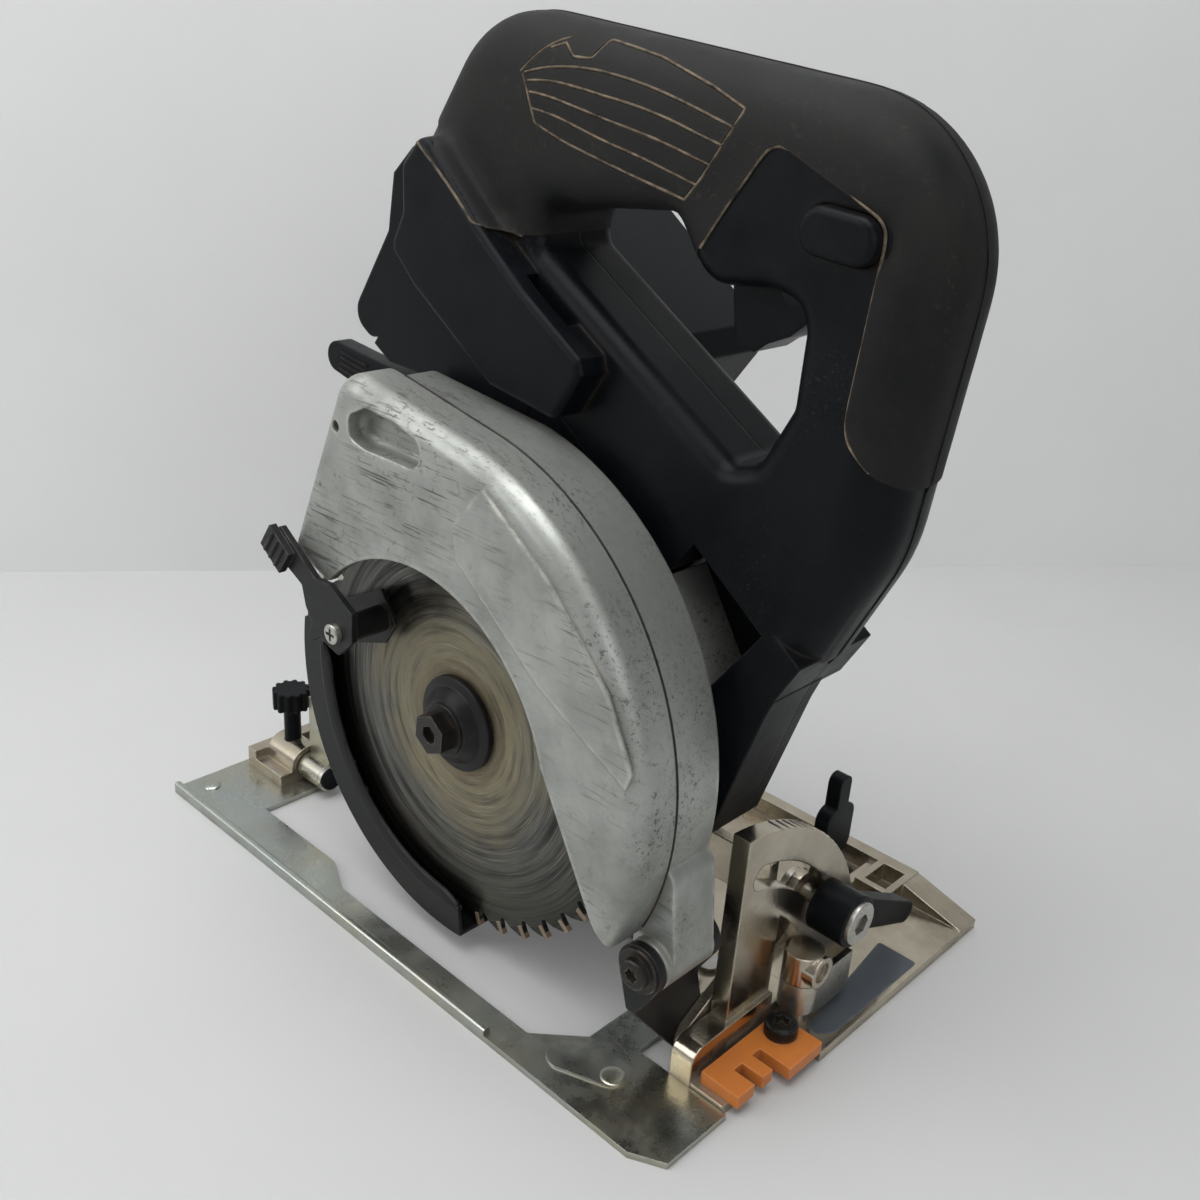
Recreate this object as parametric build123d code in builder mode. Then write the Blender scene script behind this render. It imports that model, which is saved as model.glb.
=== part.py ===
from build123d import *
import os
from math import atan2, cos, degrees, hypot, radians, sin, sqrt, tan

os.makedirs("parts", exist_ok=True)

# Cordless circular saw, standing on its base with the body swung up.
# +X is the cutting direction, +Y is the motor side, z = 0 is the sole and y = 0 is the blade.
# The body is drawn on a side plane through the arbor: u runs forward and w runs up at full depth.

# Pose and axes
body_lift = 35.0
arbor_height = 95.0
depth_pivot_x = 100.0
depth_pivot_z = 52.0
bevel_axis_y = 20.0
bevel_axis_z = 9.0

# Fits
shaft_fit = 0.03
side_gap = 0.5
swing_gap = 1.5
thread_fit = 0.05

# Blade and its clamping
blade_radius = 82.5
blade_thickness = 1.8
blade_teeth = 40
blade_bore = 10.0
gullet_depth = 6.5
tip_width = 3.0
tip_relief = 0.6
face_hook = 0.5
flange_radius = 18.0
flange_rim = 2.5
outer_flange_height = 7.0
flange_nose = 10.5
inner_flange_height = 5.0
spindle_radius = 7.0
spindle_left = 47.0
arbor_shank = 4.0
arbor_shank_length = 20.0
arbor_head_flats = 14.0
arbor_head_height = 7.5
arbor_socket_flats = 6.0
arbor_socket_depth = 4.0

# Gear train
gear_teeth = 44
pinion_teeth = 11
gear_module = 1.0
tooth_half = 0.55
tooth_addendum = 0.7
tooth_dedendum = 1.1
pressure_angle = 20.0
gear_right = 23.0
gear_width = 10.0
motor_u = -12.0
shaft_radius = 4.0

# Bearings
spindle_bearing = (17.5, 9.0, 17.0)
spindle_tail_bearing = (11.0, 40.0, 46.0)
rotor_bearing = (9.5, 40.0, 46.0)
rotor_tail_bearing = (8.0, 112.0, 118.0)

# Motor
stator_radius = 26.0
stator_right = 56.0
stator_left = 92.0
air_gap = 0.6
rotor_radius = 14.0
fan_radius = 25.0
fan_right = 96.0
fan_width = 8.0
fan_blades = 9
motor_radius = 32.0
motor_wall = 3.5
motor_left = 106.0
cap_left = 124.0
cap_slots = 12

# Blade case
case_center_u = -6.0
case_center_w = 8.0
case_radius = 103.7
case_right = -22.0
case_seam = -4.0
case_left = 16.0
case_wall = 3.5
case_edge = 7.0
window_radius = 65.0
window_rear = 172.0
window_front = 52.0
guard_room = 2.0
gear_case_left = 38.0
gear_case_wall = 3.0
lug_radius = 9.0
lug_right = -7.0
lug_left = 16.5
pocket_depth = 7.0

# Lower guard
guard_clearance = 4.0
guard_radius = blade_radius + guard_clearance
guard_wall = 1.5
guard_band = 12.5
guard_right = -7.4
guard_left = 11.0
guard_start = 207.0
guard_end = 312.0
guard_hub = 21.0
lever_right = -27.5
lever_thick = 2.5
lever_screw_u = -47.0
lever_screw_w = 3.0
lever_boss = 5.0

# Cast shoe
shoe_rear = -153.0
shoe_front = 136.0
shoe_left = 160.0
shoe_inner = 50.0
shoe_plate = 4.0
shoe_rim = 12.0
rim_wall = 6.0
lap_height = 8.0
quadrant_x = 105.0
quadrant_thick = 7.0
quadrant_radius = 82.0
quadrant_inner = 50.0
slot_radius = 65.0
slot_width = 10.0
bolt_angle = 30.0
bevel_range = 45.0
nose_right = 5.0
nose_height = 17.0
barrel_rear = -147.0
barrel_front = -127.0
barrel_radius = 9.0
pin_radius = 4.0

# Steel strip
strip_thick = 2.5
strip_rear = -157.0
strip_right = -30.4
strip_inner = -17.8
strip_wide = -9.6
strip_front = 130.0
branch_rear = 75.0
branch_front = 91.0
branch_left = 58.0
rear_band_front = -117.0
rear_band_left = 40.0
bead_width = 3.0
bead_height = 5.0
strip_screw = 2.5

# Bevel carriage
bracket_thick = 4.0
bracket_gap = 1.0
cheek_thick = 3.0
pivot_radius = 4.0
pivot_head = 8.0
bolt_radius = 4.0
bevel_lever_radius = 10.0
bevel_lever_length = 15.0
rear_bracket_front = -112.0
depth_plate_right = 17.5
depth_plate_thick = 3.0
depth_plate_width = 16.0
depth_slot = 8.4
lock_u = -104.0
lock_w = 45.0

# Handle and housing
handle_right_y = 22.0
handle_mid = 42.0
handle_left_y = 60.0
handle_edge = 16.0
rubber_thick = 3.0
rubber_proud = 0.8
handle_wall = 4.0
loop_top = (-4.0, 191.0)
trigger_half = 8.0
trigger_behind_loop = 10.0
trigger_above_loop = 6.0
trigger_pivot_u = loop_top[0] - trigger_behind_loop
trigger_pivot_w = loop_top[1] + trigger_above_loop
lockoff_ahead = 3.0
lockoff_above = 22.0
lockoff_u = trigger_pivot_u + lockoff_ahead
lockoff_w = trigger_pivot_w + lockoff_above
lockoff_length = 24.0
lockoff_width = 13.0
lockoff_proud = 4.5
battery_left = 126.0

# Fasteners and small pieces
screw_radius = 2.0
screw_head = 3.8
screw_head_height = 2.6
wing_x = 82.0
wing_y = 129.0
thumb_x = -139.0
thumb_radius = 8.5
stop_x = 119.5
stop_y = 56.5

# Values worked out from the sizes above
lift_cos = cos(radians(body_lift))
lift_sin = sin(radians(body_lift))
pivot_u = depth_pivot_x * lift_cos - (depth_pivot_z - arbor_height) * lift_sin
pivot_w = depth_pivot_x * lift_sin + (depth_pivot_z - arbor_height) * lift_cos
blade_half = blade_thickness / 2
gear_pitch = gear_teeth * gear_module / 2
pinion_pitch = pinion_teeth * gear_module / 2
gear_centres = gear_pitch + pinion_pitch
motor_w = sqrt(gear_centres**2 - motor_u**2)
gear_left = gear_right + gear_width
gear_case_radius = gear_pitch + tooth_addendum + gear_case_wall
cavity_radius = guard_radius + guard_room
lock_reach = hypot(lock_u - pivot_u, lock_w - pivot_w)


def body_plane(y):
    return Plane(
        origin=(0, y, arbor_height),
        x_dir=(lift_cos, 0, -lift_sin),
        z_dir=(0, -1, 0),
    )


def on_body(u, w, y):
    return Location(body_plane(y)) * Location((u, w, 0))


def cross_plane(x):
    return Plane(origin=(x, 0, 0), x_dir=(0, 1, 0), z_dir=(1, 0, 0))


def body_cylinder(u, w, right, left, radius, mode=Mode.ADD):
    with Locations(on_body(u, w, (right + left) / 2)):
        Cylinder(radius, left - right, mode=mode)


def body_box(u_span, w_span, y_span, mode=Mode.ADD):
    middle = [(low + high) / 2 for low, high in (u_span, w_span, y_span)]
    with Locations(on_body(*middle)):
        Box(u_span[1] - u_span[0], w_span[1] - w_span[0], y_span[1] - y_span[0], mode=mode)


def world_box(x_span, y_span, z_span, mode=Mode.ADD):
    middle = [(low + high) / 2 for low, high in (x_span, y_span, z_span)]
    with Locations(tuple(middle)):
        Box(x_span[1] - x_span[0], y_span[1] - y_span[0], z_span[1] - z_span[0], mode=mode)


def along_x(x_span, y, z, radius, mode=Mode.ADD):
    with Locations(((x_span[0] + x_span[1]) / 2, y, z)):
        Cylinder(radius, x_span[1] - x_span[0], rotation=(0, 90, 0), mode=mode)


def upright(x, y, z_span, radius, mode=Mode.ADD):
    with Locations((x, y, (z_span[0] + z_span[1]) / 2)):
        Cylinder(radius, z_span[1] - z_span[0], mode=mode)


def polar(radius, angle, center=(0, 0)):
    return (
        center[0] + radius * cos(radians(angle)),
        center[1] + radius * sin(radians(angle)),
    )


def save(builder, name):
    builder.part.label = name
    export_step(builder.part, f"parts/{name}.step")


def gear_points(teeth, phase, center=(0, 0)):
    pitch = teeth * gear_module / 2
    root = pitch - tooth_dedendum
    tip = pitch + tooth_addendum
    points = []
    for tooth in range(teeth):
        middle = phase + 360 * tooth / teeth
        for radius, side in ((root, -1), (tip, -1), (tip, 1), (root, 1)):
            half = tooth_half - (radius - pitch) * tan(radians(pressure_angle))
            points.append(polar(radius, middle + side * degrees(half / radius), center))
    return points


def blade_points():
    root = blade_radius - gullet_depth
    pitch = 360 / blade_teeth
    tip_angle = degrees(tip_width / blade_radius)
    points = []
    for tooth in range(blade_teeth):
        face = pitch * tooth
        points.append(polar(root, face - 0.8 * pitch))
        points.append(polar(root + gullet_depth / 2, face - 0.55 * pitch))
        points.append(polar(blade_radius - tip_relief, face - tip_angle))
        points.append(polar(blade_radius, face))
        points.append(polar(root, face + face_hook))
    return points


motor_direction = degrees(atan2(motor_w, motor_u))
pinion_phase = motor_direction + 180 + 180 / pinion_teeth

# Saw blade with its carbide teeth
with BuildPart() as saw_blade:
    with BuildSketch(body_plane(blade_half)):
        with BuildLine():
            Polyline(*blade_points(), close=True)
        make_face()
        Circle(blade_bore, mode=Mode.SUBTRACT)
    extrude(amount=blade_thickness)
save(saw_blade, "saw_blade")

# Inner flange with the pilot that centres the blade
inner_flange_left = blade_half + inner_flange_height
with BuildPart() as inner_flange:
    body_cylinder(0, 0, blade_half, inner_flange_left, flange_radius)
    body_cylinder(0, 0, -blade_half, blade_half, blade_bore - shaft_fit)
    body_cylinder(0, 0, -blade_half, inner_flange_left, spindle_radius + shaft_fit, Mode.SUBTRACT)
save(inner_flange, "inner_flange")

# Outer flange, a dished washer that narrows towards the bolt
outer_flange_right = -blade_half - outer_flange_height
with BuildPart() as outer_flange:
    body_cylinder(0, 0, outer_flange_right, -blade_half, flange_radius)
    chamfer(
        outer_flange.faces().sort_by(Axis.Y)[0].edges(),
        length=flange_radius - flange_nose,
        length2=outer_flange_height - flange_rim,
        reference=outer_flange.faces().sort_by(Axis.Y)[0],
    )
    body_cylinder(0, 0, outer_flange_right, 0, arbor_shank + thread_fit, Mode.SUBTRACT)
save(outer_flange, "outer_flange")

# Arbor bolt with a hex head and a socket
arbor_head_right = outer_flange_right - arbor_head_height
shank_left = outer_flange_right + arbor_shank_length
with BuildPart() as arbor_bolt:
    with BuildSketch(body_plane(outer_flange_right)):
        RegularPolygon(arbor_head_flats / 2, 6, major_radius=False)
    extrude(amount=arbor_head_height)
    with BuildSketch(body_plane(arbor_head_right + arbor_socket_depth)):
        RegularPolygon(arbor_socket_flats / 2, 6, major_radius=False)
    extrude(amount=arbor_socket_depth, mode=Mode.SUBTRACT)
    body_cylinder(0, 0, outer_flange_right, shank_left, arbor_shank)
save(arbor_bolt, "arbor_bolt")

# Spindle, drilled for the arbor bolt
spindle_right = -blade_half
with BuildPart() as spindle:
    body_cylinder(0, 0, spindle_right, spindle_left, spindle_radius)
    body_cylinder(0, 0, spindle_right, shank_left + side_gap, arbor_shank + thread_fit, Mode.SUBTRACT)
save(spindle, "spindle")

# Drive gear keyed on the spindle
with BuildPart() as drive_gear:
    with BuildSketch(body_plane(gear_left)):
        with BuildLine():
            Polyline(*gear_points(gear_teeth, motor_direction), close=True)
        make_face()
        Circle(spindle_radius + shaft_fit, mode=Mode.SUBTRACT)
    extrude(amount=gear_width)
save(drive_gear, "drive_gear")

# Rotor: shaft, core and the pinion cut on the shaft's end
with BuildPart() as rotor:
    body_cylinder(motor_u, motor_w, gear_left, rotor_tail_bearing[2], shaft_radius)
    body_cylinder(motor_u, motor_w, stator_right, stator_left, rotor_radius)
    with BuildSketch(body_plane(gear_left)):
        with BuildLine():
            Polyline(*gear_points(pinion_teeth, pinion_phase, (motor_u, motor_w)), close=True)
        make_face()
    extrude(amount=gear_width)
save(rotor, "rotor")

# Cooling fan pressed on the rotor shaft
fan_left = fan_right + fan_width
fan_hub = shaft_radius * 2
fan_web = 1.5
with BuildPart() as fan:
    body_cylinder(motor_u, motor_w, fan_right, fan_left, fan_hub)
    body_cylinder(motor_u, motor_w, fan_right, fan_right + fan_web, fan_radius)
    with BuildSketch(body_plane(fan_left)):
        with Locations((motor_u, motor_w)):
            with PolarLocations((fan_hub + fan_radius) / 2 - fan_web / 2, fan_blades):
                Rectangle(fan_radius - fan_hub, fan_web)
    extrude(amount=fan_width)
    body_cylinder(motor_u, motor_w, fan_right, fan_left, shaft_radius + shaft_fit, Mode.SUBTRACT)
save(fan, "fan")

# Stator with its tooth slots
stator_bore = rotor_radius + air_gap
stator_slots = 6
with BuildPart() as stator:
    body_cylinder(motor_u, motor_w, stator_right, stator_left, stator_radius)
    body_cylinder(motor_u, motor_w, stator_right, stator_left, stator_bore, Mode.SUBTRACT)
    with BuildSketch(body_plane(stator_left)):
        with Locations((motor_u, motor_w)):
            with PolarLocations((stator_bore + stator_radius) / 2 - 1, stator_slots):
                Rectangle((stator_radius - stator_bore) / 2, stator_bore / 2)
    extrude(amount=stator_left - stator_right, mode=Mode.SUBTRACT)
save(stator, "stator")


# Ball bearings, each one ring with a ball groove in its sides
def bearing_ring(name, u, w, bearing, bore):
    radius, right, left = bearing
    groove = 0.8
    middle = (radius + bore) / 2
    with BuildPart() as ring:
        body_cylinder(u, w, right, left, radius)
        body_cylinder(u, w, right, left, bore + shaft_fit, Mode.SUBTRACT)
        for low, high in ((right, right + groove), (left - groove, left)):
            with BuildSketch(body_plane(high)) as groove_ring:
                with Locations((u, w)):
                    Circle(middle + groove)
                    Circle(middle - groove, mode=Mode.SUBTRACT)
            extrude(groove_ring.sketch, amount=high - low, mode=Mode.SUBTRACT)
    save(ring, name)


bearing_ring("spindle_bearing", 0, 0, spindle_bearing, spindle_radius)
bearing_ring("spindle_tail_bearing", 0, 0, spindle_tail_bearing, spindle_radius)
bearing_ring("rotor_bearing", motor_u, motor_w, rotor_bearing, shaft_radius)
bearing_ring("rotor_tail_bearing", motor_u, motor_w, rotor_tail_bearing, shaft_radius)


# Blade case outline: a large front arc, a square rear corner and a chord under the arbor
case_tip = (97.0, 25.0)
case_top = (-49.0, 103.0)
case_rear_top = (-103.0, 72.0)
case_rear_peak = (-104.0, 77.0)
case_rear_low = (-88.0, -1.5)
case_corner = 12.0
window_drop = 25.0


def case_arc_angle(point):
    return degrees(atan2(point[1] - case_center_w, point[0] - case_center_u))


def case_wire(inset, rear_top):
    center = (case_center_u, case_center_w)
    radius = case_radius - inset
    start = case_arc_angle(case_tip)
    span = case_arc_angle(case_top) - start
    tip = polar(radius, start, center)
    top = polar(radius, start + span, center)
    CenterArc(center, radius, start, span)
    Polyline(
        top,
        (rear_top[0] + inset, rear_top[1] - inset / 2),
        (case_rear_low[0] + inset, case_rear_low[1]),
        tip,
    )


def window_wire():
    left = polar(window_radius, window_rear)
    middle = polar(window_radius, (window_rear + window_front) / 2)
    right = polar(window_radius, window_front)
    ThreePointArc(left, middle, right)
    Polyline(
        right,
        (77, 34),
        (case_tip[0] + 4, case_tip[1] - 2),
        (case_tip[0] + window_drop, -window_drop),
        (case_rear_low[0] - window_drop, -window_drop),
        (case_rear_low[0] - 4, case_rear_low[1] - 3),
        left,
    )


case_screw_points = [(-63.0, 83.0), (-20.0, 102.0), (57.0, 78.0)]
case_boss = 5.0
case_hole = (-93.5, 59.6)
case_screw_left = case_left - screw_head_height

# Outer half of the blade case, open at the window that shows the blade
panel_proud = 1.2
pocket_corner = 4.0
pocket_round = 3.0
pocket_outline = [
    (-91, 68), (-86, 77.5), (-74, 84.5), (-61, 89.5), (-56.5, 84), (-58.5, 79), (-66, 74), (-78, 65.5),
    (-86, 62),
]
panel_outline = [
    (-34, 82), (-26, 74), (22, 73), (46, 77), (64, 80), (62, 86), (40, 97), (4, 103), (-32, 102),
]
with BuildPart() as case_outer:
    with BuildSketch(body_plane(case_seam)) as outline:
        with BuildLine():
            case_wire(0, case_rear_peak)
        make_face()
        fillet(outline.vertices().sort_by(Axis.X)[0], case_corner)
    extrude(amount=case_seam - case_right)
    fillet(case_outer.faces().sort_by(Axis.Y)[0].edges(), case_edge)
    with BuildSketch(body_plane(case_seam)):
        with BuildLine():
            case_wire(case_wall, case_rear_peak)
        make_face()
    extrude(amount=case_seam - case_right - case_wall, mode=Mode.SUBTRACT)
    with BuildSketch(body_plane(case_right + case_wall + pocket_depth)):
        with BuildLine():
            FilletPolyline(*pocket_outline, radius=pocket_corner, close=True)
        make_face()
        offset(amount=case_wall)
    extrude(amount=pocket_depth + case_wall / 2)
    for u, w in case_screw_points:
        body_cylinder(u, w, case_right + case_wall / 2, case_seam, case_boss)
    with BuildSketch(body_plane(case_right + pocket_depth)):
        with BuildLine():
            FilletPolyline(*pocket_outline, radius=pocket_corner, close=True)
        make_face()
    extrude(amount=pocket_depth, mode=Mode.SUBTRACT)
    pocket_floor = case_outer.faces().filter_by(Axis.Y).filter_by_position(
        Axis.Y, case_right + pocket_depth - shaft_fit, case_right + pocket_depth + shaft_fit
    )
    fillet(pocket_floor.edges(), pocket_round)
    with BuildSketch(body_plane(case_right)):
        with BuildLine():
            Polyline(*panel_outline, close=True)
        make_face()
    extrude(amount=panel_proud)
    for u, w in case_screw_points:
        body_cylinder(u, w, case_right + case_wall, case_seam, screw_radius + thread_fit, Mode.SUBTRACT)
    body_cylinder(*case_hole, case_right - 1, case_right + case_wall + 1, screw_radius, Mode.SUBTRACT)
    with BuildSketch(body_plane(case_seam + 1)):
        with BuildLine():
            window_wire()
        make_face()
    extrude(amount=case_seam - case_right + panel_proud + 2, mode=Mode.SUBTRACT)
    body_cylinder(0, 0, guard_right - swing_gap, case_seam + 1, cavity_radius, Mode.SUBTRACT)
save(case_outer, "case_outer")

# Inner half of the blade case with the gear housing, the pivot lug and the lock ear
plate_right = case_left - case_wall
hub_right = inner_flange_left + side_gap
block_u = (14.0, 48.5)
block_top = (101.5, 88.2)
block_floor = 78.0
block_left = 41.5
ear_root = (-86.0, 48.0)
ear_radius = 9.0
ear_thick = 5.0
lock_boss_left = depth_plate_right - side_gap
arm_root = (88.0, 46.0)
tooth_room = 1.0
pinion_room = pinion_pitch + tooth_addendum + tooth_room
shaft_lock_y = (gear_right + gear_left) / 2
with BuildPart() as case_inner:
    with BuildSketch(body_plane(case_left)) as outline:
        with BuildLine():
            case_wire(0, case_rear_top)
        make_face()
        fillet(outline.vertices().sort_by(Axis.X)[0], case_corner)
        Circle(gear_case_radius)
    extrude(amount=case_left - case_seam)
    with BuildSketch(body_plane(plate_right)):
        with BuildLine():
            case_wire(case_wall, case_rear_top)
        make_face()
    extrude(amount=plate_right - case_seam, mode=Mode.SUBTRACT)
    body_cylinder(0, 0, case_seam - 1, plate_right, cavity_radius, Mode.SUBTRACT)
    with BuildSketch(body_plane(case_left)) as ear:
        with Locations((lock_u, lock_w), ear_root):
            Circle(ear_radius)
        make_hull()
    extrude(amount=ear_thick)
    body_cylinder(lock_u, lock_w, case_left - ear_thick, lock_boss_left, ear_radius)
    for u, w in case_screw_points:
        body_cylinder(u, w, case_seam, plate_right + 1, case_boss)
    with BuildSketch(body_plane(case_left)) as arm:
        with Locations((pivot_u, pivot_w)):
            Circle(lug_radius)
        with Locations(arm_root):
            Circle(lug_radius - 2)
        make_hull()
    extrude(amount=case_left - case_seam)
    body_cylinder(pivot_u, pivot_w, lug_right, lug_left, lug_radius)
    body_cylinder(0, 0, hub_right, plate_right + 1, guard_hub)
    with BuildSketch(body_plane(gear_case_left)) as gear_case:
        Circle(gear_case_radius)
        with Locations((motor_u, motor_w)):
            Circle(pinion_room + gear_case_wall)
        make_hull()
    extrude(amount=gear_case_left - plate_right)
    with BuildSketch(body_plane(block_left)):
        with BuildLine():
            Polyline(
                (block_u[0], block_top[0]), (block_u[1], block_top[1]), (block_u[1], block_floor),
                (block_u[0], block_floor), close=True,
            )
        make_face()
    extrude(amount=block_left - plate_right)
    with BuildSketch(body_plane(gear_case_left)) as gear_room:
        Circle(gear_pitch + tooth_addendum + tooth_room)
        with Locations((motor_u, motor_w)):
            Circle(pinion_room)
        make_hull()
    extrude(amount=gear_case_left - spindle_bearing[2] - gear_case_wall, mode=Mode.SUBTRACT)
    bearing_seat = spindle_bearing[0] + shaft_fit
    body_cylinder(0, 0, spindle_bearing[1], spindle_bearing[2], bearing_seat, Mode.SUBTRACT)
    body_cylinder(0, 0, hub_right - 1, gear_case_left, spindle_radius + 2, Mode.SUBTRACT)
    body_cylinder(pivot_u, pivot_w, lug_right - 1, lug_left + 1, pivot_radius + shaft_fit, Mode.SUBTRACT)
    lock_hole = bolt_radius + thread_fit
    body_cylinder(lock_u, lock_w, case_seam - 1, lock_boss_left + 1, lock_hole, Mode.SUBTRACT)
    for u, w in case_screw_points:
        body_cylinder(u, w, case_seam - 1, case_left + 1, screw_radius + thread_fit, Mode.SUBTRACT)
        body_cylinder(u, w, case_screw_left, case_left + 1, screw_head + thread_fit, Mode.SUBTRACT)
    with Locations(on_body(gear_case_radius, 0, shaft_lock_y)):
        Cylinder(screw_head + shaft_fit, 4 * gear_case_wall, rotation=(0, 90, 0), mode=Mode.SUBTRACT)
save(case_inner, "case_inner")

# Screws that hold the two halves of the case together
case_screw_tip = case_right + pocket_depth + 1.0
with BuildPart() as case_screws:
    for u, w in case_screw_points:
        body_cylinder(u, w, case_screw_tip, case_screw_left, screw_radius)
        body_cylinder(u, w, case_screw_left, case_left, screw_head)
save(case_screws, "case_screws")

# Shaft lock button in the front of the gear housing
shaft_lock_travel = 3.0
shaft_lock_tip = gear_pitch + tooth_addendum + side_gap + shaft_lock_travel
shaft_lock_length = 10.0
shaft_lock_cap = 5.0
with BuildPart() as shaft_lock:
    with Locations(on_body(shaft_lock_tip + shaft_lock_length / 2, 0, shaft_lock_y)):
        Cylinder(screw_head, shaft_lock_length, rotation=(0, 90, 0))
    with Locations(on_body(shaft_lock_tip + shaft_lock_length, 0, shaft_lock_y)):
        Cylinder(shaft_lock_cap, 2 * screw_head_height, rotation=(0, 90, 0))
save(shaft_lock, "shaft_lock")

# Lower guard: a rim and a left plate on the hub, with a narrow band on the right
guard_inner_left = guard_left - guard_wall
guard_span = guard_end - guard_start
guard_plate_radius = guard_hub + shaft_fit + 5
guard_lug_angle = degrees(atan2(lever_screw_w, lever_screw_u))
guard_lug_radius = hypot(lever_screw_u, lever_screw_w)
band_inner = guard_radius - guard_band


with BuildPart() as lower_guard:
    with BuildSketch(body_plane(guard_left)):
        with BuildLine():
            Line((0, 0), polar(guard_radius, guard_start))
            CenterArc((0, 0), guard_radius, guard_start, guard_span)
            Line(polar(guard_radius, guard_end), (0, 0))
        make_face()
        Circle(guard_plate_radius)
    extrude(amount=guard_left - guard_right)
    rim_inner = guard_radius - guard_wall
    body_cylinder(0, 0, guard_right + guard_wall, guard_inner_left, rim_inner, Mode.SUBTRACT)
    body_cylinder(0, 0, guard_right - 1, guard_inner_left, band_inner, Mode.SUBTRACT)
    body_cylinder(0, 0, guard_right, guard_left + 1, guard_hub + shaft_fit, Mode.SUBTRACT)
    with BuildSketch(body_plane(guard_right + guard_wall)):
        with BuildLine():
            Polyline(
                polar(rim_inner, guard_start + 14),
                polar(rim_inner, guard_start - 3),
                polar(guard_lug_radius + 8, guard_lug_angle - 9),
                polar(guard_lug_radius - 6, guard_lug_angle - 7),
                polar(guard_lug_radius - 7, guard_lug_angle + 9),
                polar(band_inner, guard_start + 4),
                close=True,
            )
        make_face()
    extrude(amount=guard_wall)
    body_cylinder(lever_screw_u, lever_screw_w, lever_right + lever_thick, guard_right, lever_boss)
    lever_hole = screw_radius + thread_fit
    body_cylinder(lever_screw_u, lever_screw_w, lever_right, guard_right, lever_hole, Mode.SUBTRACT)
save(lower_guard, "lower_guard")

# Finger lever on the guard, outside the case
lever_outline = [
    (-91, 9), (-66, 10), (-60, 15), (-45, 17), (-39, 8), (-41, -3), (-52, -7), (-54.5, -14), (-57, -13),
    (-58, -6), (-64, -4), (-70, 1), (-93, -3),
]
lever_corner = 1.0
tab_u = (-93.0, -79.0)
tab_w = (-3.0, 8.0)
tab_proud = 3.0
with BuildPart() as guard_lever:
    with BuildSketch(body_plane(lever_right + lever_thick)):
        with BuildLine():
            FilletPolyline(*lever_outline, radius=lever_corner, close=True)
        make_face()
    extrude(amount=lever_thick)
    body_box(tab_u, tab_w, (lever_right - tab_proud, lever_right))
    body_cylinder(lever_screw_u, lever_screw_w, lever_right - 1, 0, lever_hole, Mode.SUBTRACT)
save(guard_lever, "guard_lever")

# Cross head screw of the finger lever
with BuildPart() as guard_lever_screw:
    body_cylinder(lever_screw_u, lever_screw_w, lever_right - screw_head_height, lever_right, screw_head)
    body_cylinder(lever_screw_u, lever_screw_w, lever_right, guard_right - guard_wall, screw_radius)
save(guard_lever_screw, "guard_lever_screw")

# Return spring wound round the hub, closed in between the guard and the case
spring_wire = 1.0
with BuildPart() as guard_spring:
    body_cylinder(0, 0, guard_left + shaft_fit, plate_right - shaft_fit, guard_hub + 3 * spring_wire)
    body_cylinder(0, 0, guard_left, plate_right, guard_hub + spring_wire, Mode.SUBTRACT)
save(guard_spring, "guard_spring")

# Motor housing: a bulkhead on the gear housing, the motor tube and a saddle up to the handle
bulkhead_left = 49.0
saddle_u = (-58.0, 12.0)
saddle_w = (30.0, 104.0)
saddle_left = 60.0
motor_bore = stator_radius + shaft_fit
with BuildPart() as motor_housing:
    with BuildSketch(body_plane(bulkhead_left)) as bulkhead:
        Circle(gear_case_radius)
        with Locations((motor_u, motor_w)):
            Circle(motor_radius)
        make_hull()
    extrude(amount=bulkhead_left - gear_case_left)
    body_cylinder(motor_u, motor_w, gear_case_left, motor_left, motor_radius)
    body_box(saddle_u, saddle_w, (gear_case_left, saddle_left))
    fan_room = fan_right - 2
    body_cylinder(motor_u, motor_w, bulkhead_left, motor_left, motor_bore, Mode.SUBTRACT)
    body_cylinder(motor_u, motor_w, fan_room, motor_left, motor_radius - motor_wall, Mode.SUBTRACT)
    for u, w, bearing in ((0, 0, spindle_tail_bearing), (motor_u, motor_w, rotor_bearing)):
        body_cylinder(u, w, bearing[1], bearing[2], bearing[0] + shaft_fit, Mode.SUBTRACT)
        body_cylinder(u, w, gear_case_left, bearing[1], bearing[0] - 1.5, Mode.SUBTRACT)
    body_cylinder(0, 0, gear_case_left, spindle_left + 1, spindle_radius + 1, Mode.SUBTRACT)
    body_cylinder(motor_u, motor_w, gear_case_left, bulkhead_left, shaft_radius + 1, Mode.SUBTRACT)
save(motor_housing, "motor_housing")

# Motor end cap with cooling slots and the seat of the tail bearing
cap_wall = 3.0
cap_hub = rotor_tail_bearing[0] + 3.0
slot_length = motor_radius - motor_wall - cap_hub - 3.0
with BuildPart() as motor_cap:
    body_cylinder(motor_u, motor_w, motor_left, cap_left, motor_radius)
    fillet(motor_cap.faces().sort_by(Axis.Y)[-1].edges(), cap_wall)
    cap_floor = cap_left - cap_wall
    body_cylinder(motor_u, motor_w, motor_left, cap_floor, motor_radius - motor_wall, Mode.SUBTRACT)
    body_cylinder(motor_u, motor_w, rotor_tail_bearing[1] - 1, cap_floor, cap_hub)
    seat = rotor_tail_bearing[0] + shaft_fit
    body_cylinder(motor_u, motor_w, motor_left, rotor_tail_bearing[2], seat, Mode.SUBTRACT)
    with BuildSketch(body_plane(cap_left)):
        with Locations((motor_u, motor_w)):
            with PolarLocations(cap_hub + 1.5 + slot_length / 2, cap_slots):
                SlotOverall(slot_length, slot_length / 4)
    extrude(amount=cap_wall + 1, mode=Mode.SUBTRACT)
save(motor_cap, "motor_cap")


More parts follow.
